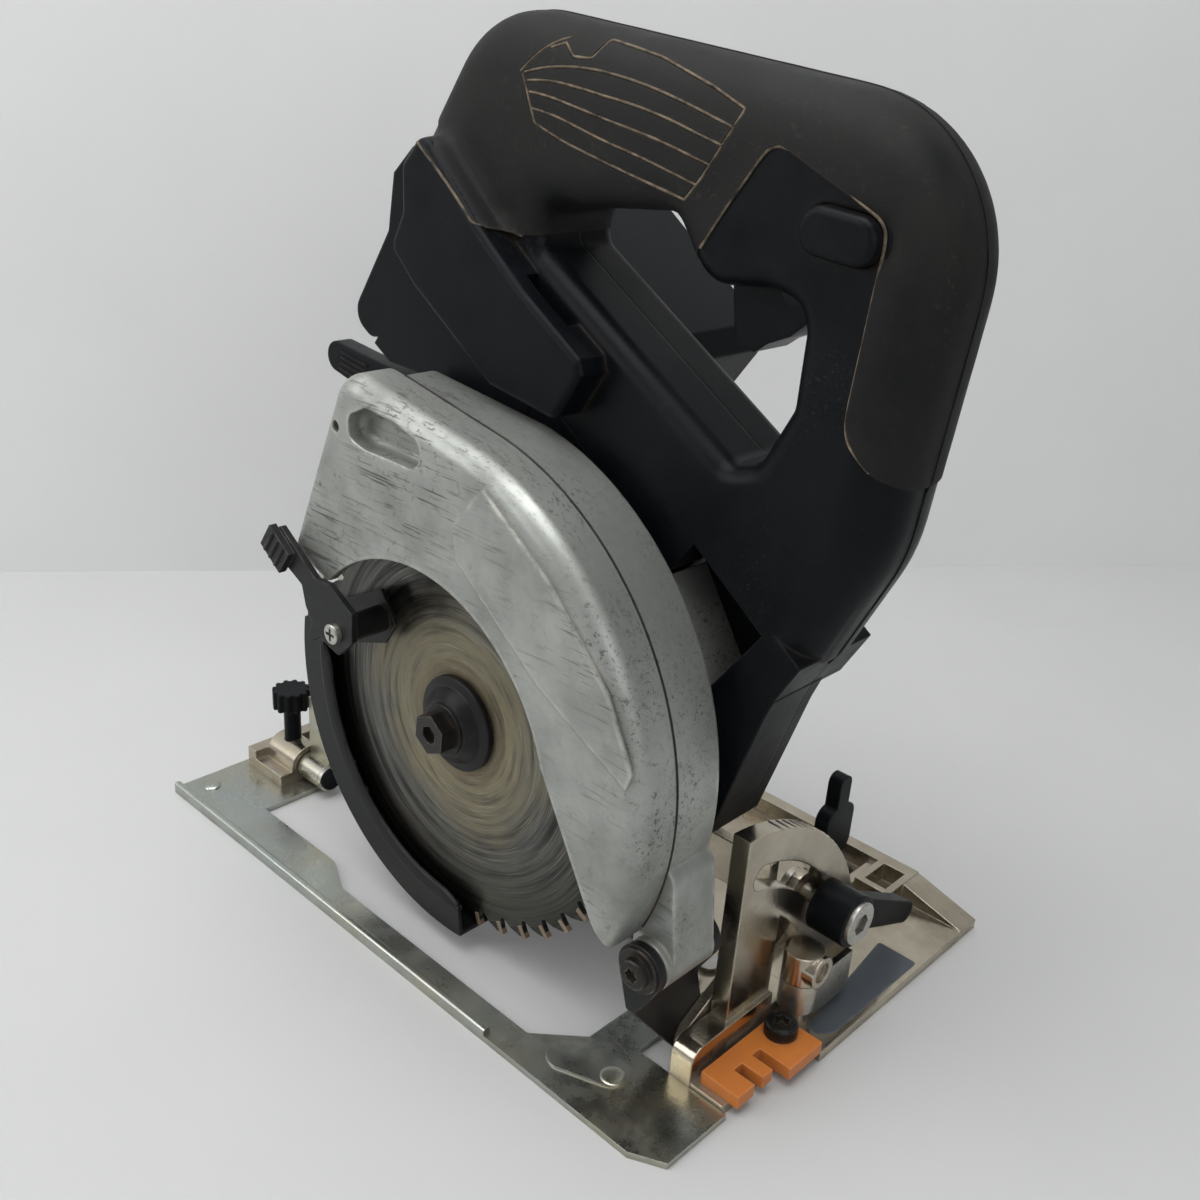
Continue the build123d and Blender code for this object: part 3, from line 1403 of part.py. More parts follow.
# Rear bracket on the bevel axis, which carries the depth guide plate
rear_bracket_rear = barrel_front + side_gap
rear_bracket_radius = bevel_axis_z - strip_thick - join_gap
rear_bracket_top = 44.0
rear_bracket_wall = 6.0
plate_left = depth_plate_right + depth_plate_thick
with BuildPart() as rear_bracket:
    along_x((rear_bracket_rear, rear_bracket_front), *bevel_axis, rear_bracket_radius)
    world_box(
        (rear_bracket_rear, rear_bracket_front),
        (plate_left, plate_left + rear_bracket_wall),
        (bevel_axis_z, rear_bracket_top),
    )
    along_x((rear_bracket_rear, rear_bracket_front), *bevel_axis, pin_radius + thread_fit, Mode.SUBTRACT)
save(rear_bracket, "rear_bracket")

# Depth guide plate: an arc about the depth pivot with a slot for the lock bolt
pivot_at = (depth_pivot_x, depth_pivot_z)
lock_angle = degrees(atan2(lock_w - pivot_w, lock_u - pivot_u)) - body_lift
slot_turn = 1.0
guide_foot = 184.0
with BuildPart() as depth_plate:
    with BuildSketch(Plane.XZ.offset(-plate_left)):
        guide_arc = Edge.make_circle(
            lock_reach, Plane((*pivot_at, 0)), start_angle=lock_angle - slot_turn, end_angle=guide_foot
        )
        SlotArc(guide_arc, depth_plate_width)
        slot_guide = Edge.make_circle(
            lock_reach,
            Plane((*pivot_at, 0)),
            start_angle=lock_angle - slot_turn,
            end_angle=lock_angle + body_lift + slot_turn,
        )
        SlotArc(slot_guide, depth_slot, mode=Mode.SUBTRACT)
    extrude(amount=depth_plate_thick)
save(depth_plate, "depth_plate")

# Depth lock bolt and its lever on the left of the guide plate
lock_hub_length = 16.0
lock_hub_radius = 7.5
lock_lever_thick = 8.0
lock_hub_right = plate_left + slide_gap
lock_lever_left = lock_hub_right + lock_hub_length
lock_lever_root = 9.0
lock_lever_end = 6.0
lock_lever_reach = (-48.0, -24.0)
with BuildPart() as depth_lock_bolt:
    body_cylinder(lock_u, lock_w, case_left - ear_thick, lock_lever_left, bolt_radius)
save(depth_lock_bolt, "depth_lock_bolt")

with BuildPart() as depth_lever:
    with BuildSketch(body_plane(lock_lever_left)) as lever:
        with Locations((lock_u, lock_w)):
            Circle(lock_lever_root)
        with Locations((lock_u + lock_lever_reach[0], lock_w + lock_lever_reach[1])):
            Circle(lock_lever_end)
        make_hull()
    extrude(amount=lock_lever_thick)
    body_cylinder(lock_u, lock_w, lock_hub_right, lock_lever_left, lock_hub_radius)
    lever_bore = bolt_radius + shaft_fit
    body_cylinder(lock_u, lock_w, lock_hub_right - 1, lock_lever_left + 1, lever_bore, Mode.SUBTRACT)
save(depth_lever, "depth_lever")
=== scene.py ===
import bpy
import bmesh
import math
from mathutils import Matrix, Vector
from mathutils.bvhtree import BVHTree


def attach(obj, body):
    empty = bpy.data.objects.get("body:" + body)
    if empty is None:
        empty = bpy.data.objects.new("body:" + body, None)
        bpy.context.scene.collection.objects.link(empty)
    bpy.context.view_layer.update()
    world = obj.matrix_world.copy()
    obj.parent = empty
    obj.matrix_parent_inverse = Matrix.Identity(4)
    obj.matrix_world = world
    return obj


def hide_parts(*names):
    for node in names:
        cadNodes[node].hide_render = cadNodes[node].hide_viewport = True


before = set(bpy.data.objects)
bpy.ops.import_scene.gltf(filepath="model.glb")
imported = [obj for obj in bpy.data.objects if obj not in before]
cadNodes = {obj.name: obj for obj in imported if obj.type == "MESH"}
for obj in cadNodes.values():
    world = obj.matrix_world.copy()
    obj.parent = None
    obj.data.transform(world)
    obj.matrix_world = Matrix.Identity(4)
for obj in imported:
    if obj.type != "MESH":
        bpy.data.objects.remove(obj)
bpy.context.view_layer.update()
scene = bpy.context.scene
print("frame loaded:", len(cadNodes), "nodes")

# The saw body is tipped nose-up about the arbor: u runs forward along it, w up, y towards the motor.
bodyPose = {"tip": 35.0, "arborZ": 0.095}
arborLift = Matrix.Translation((0, 0, bodyPose["arborZ"]))
bodyTurn = arborLift @ Matrix.Rotation(math.radians(bodyPose["tip"]), 4, "Y")


def bodyPoint(u, w, y):  # millimetres on the tipped body to metres in the frame
    return bodyTurn @ Vector((u / 1000, y / 1000, w / 1000))


def spread(ends, steps):  # even steps from one end to the other, both ends included
    first, last = ends
    return [first + (last - first) * index / steps for index in range(steps + 1)]


def spaced(count, step):  # places a step apart, about zero
    return [(index - (count - 1) / 2) * step for index in range(count)]


# node helpers
def addNode(tree, kind, settings=None, values=None):
    node = tree.nodes.new(kind)
    for key, value in (settings or {}).items():
        setattr(node, key, value)
    for key, value in (values or {}).items():
        node.inputs[key].default_value = value
    return node


def plug(tree, source, target):
    if isinstance(source, bpy.types.NodeSocket):
        tree.links.new(source, target)
    else:
        target.default_value = source


def doMath(tree, operation, first, second=0.0, clamp=False):
    node = addNode(tree, "ShaderNodeMath", {"operation": operation, "use_clamp": clamp})
    plug(tree, first, node.inputs[0])
    plug(tree, second, node.inputs[1])
    return node.outputs[0]


def mapRange(tree, value, low, high, toLow=0.0, toHigh=1.0):
    node = addNode(tree, "ShaderNodeMapRange", {"clamp": True})
    for index, item in enumerate((value, low, high, toLow, toHigh)):
        plug(tree, item, node.inputs[index])
    return node.outputs[0]


mixSockets = {"RGBA": ((0, 6, 7), 2), "FLOAT": ((0, 2, 3), 0)}  # a Mix node's inputs and output


def mixItems(tree, kind, *items):  # factor, first and second
    node = addNode(tree, "ShaderNodeMix", {"data_type": kind, "clamp_factor": True})
    takes, gives = mixSockets[kind]
    for index, item in zip(takes, items):
        plug(tree, item, node.inputs[index])
    return node.outputs[gives]


def mixColor(tree, factor, first, second):
    return mixItems(tree, "RGBA", factor, first, second)


def mixValue(tree, factor, first, second):
    return mixItems(tree, "FLOAT", factor, first, second)


def addNoise(tree, vector, scale, detail=4.0, rough=0.55, distort=0.0):
    values = {"Detail": detail, "Roughness": rough, "Distortion": distort}
    node = addNode(tree, "ShaderNodeTexNoise", None, values)
    plug(tree, vector, node.inputs["Vector"])
    plug(tree, scale, node.inputs["Scale"])
    return node.outputs["Fac"]


def turnScale(tree, vector, angles=(0, 0, 0), scale=(1, 1, 1), move=(0, 0, 0)):
    turns = [math.radians(angle) for angle in angles]
    node = addNode(tree, "ShaderNodeMapping", None, {"Location": move, "Rotation": turns, "Scale": scale})
    plug(tree, vector, node.inputs["Vector"])
    return node.outputs[0]


def addBump(tree, height, strength, depth):
    node = addNode(tree, "ShaderNodeBump", None, {"Strength": strength, "Distance": depth})
    plug(tree, height, node.inputs["Height"])
    return node


def newGroup(name, numbers, results):  # takes a vector and the named numbers, gives the named results
    tree = bpy.data.node_groups.new(name, "ShaderNodeTree")
    tree.interface.new_socket(name="Vector", in_out="INPUT", socket_type="NodeSocketVector")
    for label, value in numbers.items():
        socket = tree.interface.new_socket(name=label, in_out="INPUT", socket_type="NodeSocketFloat")
        socket.default_value = value
    for label in results:
        tree.interface.new_socket(name=label, in_out="OUTPUT", socket_type="NodeSocketFloat")
    return tree, tree.nodes.new("NodeGroupInput").outputs, tree.nodes.new("NodeGroupOutput").inputs


def useGroup(tree, group, values):
    node = addNode(tree, "ShaderNodeGroup", {"node_tree": group})
    for key, value in values.items():
        plug(tree, value, node.inputs[key])
    return node.outputs


# worn edges: where a rounded normal leaves the true one, broken up by noise
edgeLook = {"samples": 4, "bend": (0.02, 0.16), "noise": (6.0, 0.65), "rub": (0.40, 0.62)}


def makeEdgeWear(look):
    tree, given, put = newGroup("edgeWear", {"Reach": 0.001, "Breakup": 120.0}, ["Edge"])
    soft = addNode(tree, "ShaderNodeBevel", {"samples": look["samples"]})
    plug(tree, given["Reach"], soft.inputs["Radius"])
    true = addNode(tree, "ShaderNodeNewGeometry")
    dot = addNode(tree, "ShaderNodeVectorMath", {"operation": "DOT_PRODUCT"})
    plug(tree, soft.outputs[0], dot.inputs[0])
    plug(tree, true.outputs["Normal"], dot.inputs[1])
    bend = mapRange(tree, doMath(tree, "SUBTRACT", 1.0, dot.outputs["Value"]), *look["bend"])
    rub = mapRange(tree, addNoise(tree, given["Vector"], given["Breakup"], *look["noise"]), *look["rub"])
    plug(tree, doMath(tree, "MULTIPLY", bend, rub, True), put["Edge"])
    return tree


# dust and grime that settles where surfaces come close
creviceLook = {"samples": 6, "hidden": (0.12, 0.75), "noise": (5.0, 0.6), "patch": (0.28, 0.66)}


def makeCrevice(look):
    tree, given, put = newGroup("creviceDust", {"Reach": 0.006, "Breakup": 60.0}, ["Dust"])
    near = addNode(tree, "ShaderNodeAmbientOcclusion", {"samples": look["samples"]})
    plug(tree, given["Reach"], near.inputs["Distance"])
    hidden = mapRange(tree, doMath(tree, "SUBTRACT", 1.0, near.outputs["AO"]), *look["hidden"])
    patch = mapRange(tree, addNoise(tree, given["Vector"], given["Breakup"], *look["noise"]), *look["patch"])
    plug(tree, doMath(tree, "MULTIPLY", hidden, patch, True), put["Dust"])
    return tree


# thin scratches in five directions, each with its angle, stretch and fineness
scratchLook = {
    "lays": [(14, 15.0, 460.0), (-38, 30.0, 620.0), (72, 24.0, 560.0), (-78, 34.0, 700.0), (48, 20.0, 520.0)],
    "lean": 0.3, "roll": 12, "noise": (1.0, 3.0, 0.7, 0.15), "threshold": (0.80, 0.62), "edge": 0.05,
    "patchNoise": (26.0, 3.0), "patch": (0.40, 0.66),
}


def makeScratches(look):
    tree, given, put = newGroup("fineScratches", {"Amount": 0.5}, ["Scratch"])
    total = None
    threshold = mapRange(tree, given["Amount"], 0.0, 1.0, *look["threshold"])
    for angle, stretch, fineness in look["lays"]:
        angles = (angle * look["lean"], angle, look["roll"])
        lay = turnScale(tree, given["Vector"], angles, (stretch, fineness, fineness), (angle, 0, angle))
        fine = addNoise(tree, lay, *look["noise"])
        cut = mapRange(tree, fine, threshold, doMath(tree, "ADD", threshold, look["edge"]))
        total = cut if total is None else doMath(tree, "MAXIMUM", total, cut)
    patch = mapRange(tree, addNoise(tree, given["Vector"], *look["patchNoise"]), *look["patch"])
    plug(tree, doMath(tree, "MULTIPLY", total, patch, True), put["Scratch"])
    return tree


# grain of a casting, a mould or a paint film, and the wide blotches in it
grainLook = {
    "fine": (3.0, 0.6), "wide": (3.0, 0.5), "wideScale": 0.14, "wideShare": 0.8,
    "blotchNoise": (6.0, 0.62), "blotch": (0.34, 0.68),
}


def makeGrain(look):
    tree, given, put = newGroup("surfaceGrain", {"Scale": 900.0, "Patch": 38.0}, ["Height", "Blotch"])
    fine = addNoise(tree, given["Vector"], given["Scale"], *look["fine"])
    wideScale = doMath(tree, "MULTIPLY", given["Scale"], look["wideScale"])
    wide = addNoise(tree, given["Vector"], wideScale, *look["wide"])
    plug(tree, doMath(tree, "ADD", fine, doMath(tree, "MULTIPLY", wide, look["wideShare"])), put["Height"])
    blotch = addNoise(tree, given["Vector"], given["Patch"], *look["blotchNoise"])
    plug(tree, mapRange(tree, blotch, *look["blotch"]), put["Blotch"])
    return tree


edgeWear = makeEdgeWear(edgeLook)
creviceDust = makeCrevice(creviceLook)
fineScratches = makeScratches(scratchLook)
surfaceGrain = makeGrain(grainLook)


def startMaterial(name):
    material = bpy.data.materials.new(name)
    material.use_nodes = True
    tree = material.node_tree
    tree.nodes.clear()
    shader = tree.nodes.new("ShaderNodeBsdfPrincipled")
    end = tree.nodes.new("ShaderNodeOutputMaterial")
    tree.links.new(shader.outputs[0], end.inputs[0])
    coords = tree.nodes.new("ShaderNodeTexCoord")
    return material, tree, shader, coords.outputs["Object"]


def rgba(color):
    return (*color, 1.0)


def plugAll(tree, shader, sources):
    for label, source in sources.items():
        plug(tree, source, shader.inputs[label])


# One finish: two tones, scratches, flecks, worn edges, dust in the corners and grain.
plainFinish = {  # what holds where a finish doesn't say
    "metal": 0.0, "grain": 0.3, "patch": 38.0, "bumpDepth": 0.0004,
    "soft": 0.0, "softSamples": 6, "fixed": {},
    "scratch": 0.0, "scratchMix": 0.6, "scratchRough": 0.1, "scratchDepth": 0.5,
    "fleck": 0.0, "fleckNoise": (4.0, 0.75, 0.4), "fleckEdge": (0.58, 0.64), "fleckRough": 0.7,
    "fleckPatchNoise": (4.0, 0.6), "fleckPatchEdge": (0.44, 0.64),
    "wear": 0.0, "wearReach": 0.0012, "wearBreakup": 140.0, "wearRough": 0.35, "wearMetal": None,
    "dust": 0.0, "dustReach": 0.006, "dustBreakup": 70.0, "dustRough": 0.85, "dustMetal": 0.1,
}


def makeFinish(name, entry):
    look = {**plainFinish, **entry}
    material, tree, shader, place = startMaterial(name)
    given = {"Vector": place, "Scale": look["grainScale"], "Patch": look["patch"]}
    grain = useGroup(tree, surfaceGrain, given)
    color = mixColor(tree, grain["Blotch"], rgba(look["color"]), rgba(look["tone"]))
    rough = mapRange(tree, grain["Blotch"], 0.0, 1.0, *look["rough"])
    metal = look["metal"]
    height = doMath(tree, "MULTIPLY", grain["Height"], look["grain"])
    if look["scratch"]:
        cut = useGroup(tree, fineScratches, {"Vector": place, "Amount": look["scratch"]})["Scratch"]
        shown = doMath(tree, "MULTIPLY", cut, look["scratchMix"])
        color = mixColor(tree, shown, color, rgba(look["scratchColor"]))
        rough = doMath(tree, "ADD", rough, doMath(tree, "MULTIPLY", cut, look["scratchRough"]), True)
        height = doMath(tree, "SUBTRACT", height, doMath(tree, "MULTIPLY", cut, look["scratchDepth"]))
    if look["fleck"]:
        spots = addNoise(tree, place, look["fleckScale"], *look["fleckNoise"])
        spots = mapRange(tree, spots, *look["fleckEdge"])
        patch = addNoise(tree, place, look["fleckPatch"], *look["fleckPatchNoise"])
        spots = doMath(tree, "MULTIPLY", spots, mapRange(tree, patch, *look["fleckPatchEdge"]))
        chip = doMath(tree, "MULTIPLY", spots, look["fleck"], True)
        color = mixColor(tree, chip, color, rgba(look["fleckColor"]))
        rough = mixValue(tree, chip, rough, look["fleckRough"])
    if look["wear"]:
        given = {"Vector": place, "Reach": look["wearReach"], "Breakup": look["wearBreakup"]}
        edge = doMath(tree, "MULTIPLY", useGroup(tree, edgeWear, given)["Edge"], look["wear"], True)
        color = mixColor(tree, edge, color, rgba(look["wearColor"]))
        rough = mixValue(tree, edge, rough, look["wearRough"])
        if look["wearMetal"] is not None:
            metal = mixValue(tree, edge, metal, look["wearMetal"])
    if look["dust"]:
        given = {"Vector": place, "Reach": look["dustReach"], "Breakup": look["dustBreakup"]}
        dirt = doMath(tree, "MULTIPLY", useGroup(tree, creviceDust, given)["Dust"], look["dust"], True)
        color = mixColor(tree, dirt, color, rgba(look["dustColor"]))
        rough = mixValue(tree, dirt, rough, look["dustRough"])
        if metal != 0.0:
            metal = mixValue(tree, dirt, metal, look["dustMetal"])
    bump = addBump(tree, height, look["bump"], look["bumpDepth"])
    facet = bump.outputs[0]
    if look["soft"]:
        eased = addNode(tree, "ShaderNodeBevel", {"samples": look["softSamples"]}, {"Radius": look["soft"]})
        plug(tree, eased.outputs[0], bump.inputs["Normal"])
    plugAll(tree, shader, {"Base Color": color, "Roughness": rough, "Metallic": metal, "Normal": facet})
    plugAll(tree, shader, look["fixed"])
    return material


finishes = {
    "silverPaint": {
        "color": (0.385, 0.40, 0.375), "tone": (0.25, 0.26, 0.24), "rough": (0.34, 0.54), "metal": 0.6,
        "grainScale": 1500.0, "bump": 0.14,
        "scratch": 1.0, "scratchColor": (0.075, 0.072, 0.062), "scratchMix": 0.9, "soft": 0.0009,
        "fleck": 0.95, "fleckScale": 320.0, "fleckPatch": 24.0, "fleckColor": (0.12, 0.11, 0.10),
        "wear": 0.9, "wearColor": (0.66, 0.65, 0.61), "wearMetal": 0.95, "wearRough": 0.32,
        "wearReach": 0.0030, "dust": 0.85, "dustColor": (0.11, 0.085, 0.06),
    },
    "castNickel": {
        "color": (0.55, 0.495, 0.395), "tone": (0.38, 0.335, 0.265), "rough": (0.14, 0.30), "metal": 1.0,
        "grainScale": 420.0, "grain": 0.5, "bump": 0.22,
        "scratch": 0.35, "scratchColor": (0.42, 0.37, 0.31), "soft": 0.0007,
        "wear": 0.5, "wearColor": (0.82, 0.77, 0.68), "wearRough": 0.2,
        "dust": 0.85, "dustColor": (0.11, 0.085, 0.06),
    },
    "blackMetal": {
        "color": (0.007, 0.0075, 0.0085), "tone": (0.013, 0.013, 0.0135), "rough": (0.32, 0.50),
        "grainScale": 1200.0, "bump": 0.12,
        "scratch": 0.45, "scratchColor": (0.12, 0.115, 0.11), "soft": 0.0006,
        "wear": 0.6, "wearColor": (0.16, 0.15, 0.14), "wearMetal": 0.8, "wearReach": 0.0009,
        "dust": 0.30, "dustColor": (0.12, 0.09, 0.06), "dustReach": 0.005,
        "fixed": {"Specular IOR Level": 0.22},
    },
    "blackPlastic": {
        "color": (0.0026, 0.0034, 0.0048), "tone": (0.0052, 0.0062, 0.0078), "rough": (0.30, 0.48),
        "grainScale": 2300.0, "grain": 0.5, "bump": 0.14,
        "scratch": 0.35, "scratchColor": (0.06, 0.06, 0.06), "scratchMix": 0.5, "soft": 0.0014,
        "wear": 0.5, "wearColor": (0.045, 0.044, 0.043), "wearReach": 0.0010, "wearRough": 0.5,
        "fleck": 0.6, "fleckScale": 900.0, "fleckPatch": 22.0, "fleckColor": (0.030, 0.031, 0.031),
        "dust": 0.22, "dustColor": (0.10, 0.078, 0.052), "dustReach": 0.004,
        "fixed": {"Specular IOR Level": 0.11},
    },
    "gripRubber": {
        "color": (0.0062, 0.0066, 0.0066), "tone": (0.0150, 0.0146, 0.0138), "rough": (0.50, 0.72),
        "grainScale": 1700.0, "grain": 0.7, "bump": 0.22,
        "scratch": 0.30, "scratchColor": (0.07, 0.06, 0.05), "scratchMix": 0.4,
        "fleck": 0.25, "fleckScale": 420.0, "fleckPatch": 30.0, "fleckColor": (0.075, 0.062, 0.047),
        "wear": 0.4, "wearColor": (0.055, 0.046, 0.037), "wearReach": 0.0012, "wearRough": 0.7,
        "dust": 0.45, "dustColor": (0.13, 0.098, 0.064), "dustReach": 0.003,
        "fixed": {"Specular IOR Level": 0.18},
    },
    "sawDust": {
        "color": (0.20, 0.155, 0.105), "tone": (0.020, 0.017, 0.014), "rough": (0.85, 0.95),
        "patch": 260.0, "grainScale": 2600.0, "grain": 1.0, "bump": 0.4,
    },
    "orangePlastic": {
        "color": (0.56, 0.175, 0.030), "tone": (0.45, 0.135, 0.024), "rough": (0.36, 0.52),
        "grainScale": 1500.0, "bump": 0.12,
        "scratch": 0.3, "scratchColor": (0.50, 0.16, 0.05), "scratchMix": 0.5, "soft": 0.0006,
        "wear": 0.4, "wearColor": (0.88, 0.42, 0.18),
        "dust": 0.6, "dustColor": (0.20, 0.10, 0.05), "dustReach": 0.004,
    },
    "blackOxide": {
        "color": (0.018, 0.018, 0.018), "tone": (0.036, 0.033, 0.030), "rough": (0.28, 0.46), "metal": 0.7,
        "grainScale": 1300.0, "bump": 0.15,
        "scratch": 0.4, "scratchColor": (0.20, 0.18, 0.16),
        "wear": 0.8, "wearColor": (0.34, 0.31, 0.27), "wearMetal": 1.0, "wearReach": 0.0008,
        "dust": 0.6, "dustColor": (0.20, 0.15, 0.095), "dustReach": 0.003,
    },
    "brightSteel": {
        "color": (0.56, 0.56, 0.55), "tone": (0.48, 0.475, 0.46), "rough": (0.22, 0.36), "metal": 1.0,
        "grainScale": 1500.0, "grain": 0.25, "bump": 0.10,
        "scratch": 0.4, "scratchColor": (0.34, 0.33, 0.31), "scratchMix": 0.5,
        "dust": 0.6, "dustColor": (0.14, 0.11, 0.08), "dustReach": 0.003,
    },
    "gearSteel": {
        "color": (0.30, 0.30, 0.30), "tone": (0.24, 0.235, 0.23), "rough": (0.28, 0.42), "metal": 1.0,
        "grainScale": 1200.0, "bump": 0.12,
    },
    "carbide": {
        "color": (0.30, 0.235, 0.175), "tone": (0.20, 0.145, 0.10), "rough": (0.32, 0.5), "metal": 0.7,
        "grainScale": 1600.0, "grain": 0.5, "bump": 0.2,
        "wear": 0.7, "wearColor": (0.52, 0.47, 0.40), "wearReach": 0.0005,
    },
    "boardGreen": {
        "color": (0.02, 0.10, 0.05), "tone": (0.015, 0.075, 0.04), "rough": (0.3, 0.45),
        "grainScale": 700.0, "grain": 0.4, "bump": 0.15,
    },
    "copperCoil": {
        "color": (0.55, 0.25, 0.12), "tone": (0.45, 0.19, 0.09), "rough": (0.3, 0.45), "metal": 1.0,
        "grainScale": 900.0, "grain": 0.8, "bump": 0.3,
    },
    "labelFilm": {
        "color": (0.055, 0.066, 0.080), "tone": (0.075, 0.085, 0.097), "rough": (0.30, 0.48),
        "grainScale": 1600.0, "grain": 0.2, "bump": 0.08,
        "scratch": 0.5, "scratchColor": (0.22, 0.22, 0.22),
        "wear": 0.6, "wearColor": (0.35, 0.34, 0.32),
        "dust": 0.5, "dustColor": (0.2, 0.15, 0.1), "dustReach": 0.003,
    },
}
materials = {name: makeFinish(name, look) for name, look in finishes.items()}


# zinc plated sheet: drifting green, blue and straw tints under smudges and rub marks
plainZinc = {  # what the zinc finishes share
    "driftNoise": (4.0, 0.6, 0.8), "drift": (0.30, 0.70), "smudgeNoise": (6.0, 0.7),
    "smudgeEdge": (0.48, 0.70), "smudge": 0.5, "scratchMix": 0.6,
    "dustReach": 0.005, "dustBreakup": 60.0, "dustRough": 0.8, "bump": 0.12, "bumpDepth": 0.0004,
}
zincs = {
    "zincSheet": {
        "cool": (0.40, 0.45, 0.45), "grey": (0.45, 0.465, 0.43), "straw": (0.50, 0.47, 0.36),
        "driftScale": 14.0, "grainScale": 800.0, "smudgeScale": 45.0, "smudgeColor": (0.34, 0.32, 0.27),
        "scratch": 0.5, "scratchColor": (0.70, 0.69, 0.66), "rough": (0.20, 0.50),
        "dust": 0.7, "dustColor": (0.14, 0.11, 0.08),
    },
    "zincBolt": {
        "cool": (0.47, 0.47, 0.46), "grey": (0.50, 0.49, 0.45), "straw": (0.55, 0.49, 0.36),
        "driftScale": 60.0, "grainScale": 1500.0, "smudgeScale": 120.0, "smudgeColor": (0.25, 0.22, 0.18),
        "scratch": 0.4, "scratchColor": (0.62, 0.60, 0.56), "rough": (0.24, 0.48),
        "dust": 0.8, "dustColor": (0.12, 0.09, 0.06),
    },
}


def makeZinc(name, entry):
    look = {**plainZinc, **entry}
    material, tree, shader, place = startMaterial(name)
    grain = useGroup(tree, surfaceGrain, {"Vector": place, "Scale": look["grainScale"]})
    drift = mapRange(tree, addNoise(tree, place, look["driftScale"], *look["driftNoise"]), *look["drift"])
    color = mixColor(tree, mapRange(tree, drift, 0.0, 0.5), rgba(look["cool"]), rgba(look["grey"]))
    color = mixColor(tree, mapRange(tree, drift, 0.5, 1.0), color, rgba(look["straw"]))
    smudge = addNoise(tree, place, look["smudgeScale"], *look["smudgeNoise"])
    smudge = mapRange(tree, smudge, *look["smudgeEdge"])
    color = mixColor(tree, doMath(tree, "MULTIPLY", smudge, look["smudge"]), color, rgba(look["smudgeColor"]))
    cut = useGroup(tree, fineScratches, {"Vector": place, "Amount": look["scratch"]})["Scratch"]
    shown = doMath(tree, "MULTIPLY", cut, look["scratchMix"])
    color = mixColor(tree, shown, color, rgba(look["scratchColor"]))
    given = {"Vector": place, "Reach": look["dustReach"], "Breakup": look["dustBreakup"]}
    dirt = doMath(tree, "MULTIPLY", useGroup(tree, creviceDust, given)["Dust"], look["dust"], True)
    color = mixColor(tree, dirt, color, rgba(look["dustColor"]))
    rough = mapRange(tree, doMath(tree, "ADD", grain["Blotch"], smudge), 0.0, 2.0, *look["rough"])
    rough = mixValue(tree, dirt, rough, look["dustRough"])
    bump = addBump(tree, grain["Height"], look["bump"], look["bumpDepth"]).outputs[0]
    plugAll(tree, shader, {"Base Color": color, "Roughness": rough, "Metallic": 1.0, "Normal": bump})
    return material


materials.update({name: makeZinc(name, look) for name, look in zincs.items()})


# saw blade: rings of fine turning marks with resin stains that fade towards the rim
bladeLook = {
    "steel": (0.165, 0.165, 0.15), "dark": (0.028, 0.028, 0.027), "steelBands": (0.35, 0.65),
    "fine": (2200.0, 1.4, 4.0, 0.7),  # rings per metre, change in a turn, detail, roughness
    "broad": (330.0, 0.8, 4.0, 0.6), "patch": (70.0, 1.6, 3.0, 0.5), "inner": (0.022, 0.060),
    "resin": (0.235, 0.205, 0.125), "resinEdge": (0.72, 1.30), "resinBands": (0.34, 0.58, 0.45, 0.95),
    "brown": (0.085, 0.055, 0.028), "brownMix": 0.8, "brownBands": (0.56, 0.70), "brownPatch": (0.40, 0.62),
    "collar": (0.019, 0.026), "collarMarks": (0.35, 0.60),
    "streak": (0.42, 0.40, 0.34), "streakMix": 0.65, "streakEdge": (0.57, 0.70),
    "rim": (0.022, 0.021, 0.018), "rimMix": 0.65, "rimReach": (0.052, 0.079),
    "stained": 1.6, "rough": (0.30, 0.62), "metal": (0.95, 0.45), "bump": 0.18, "bumpDepth": 0.0003,
}


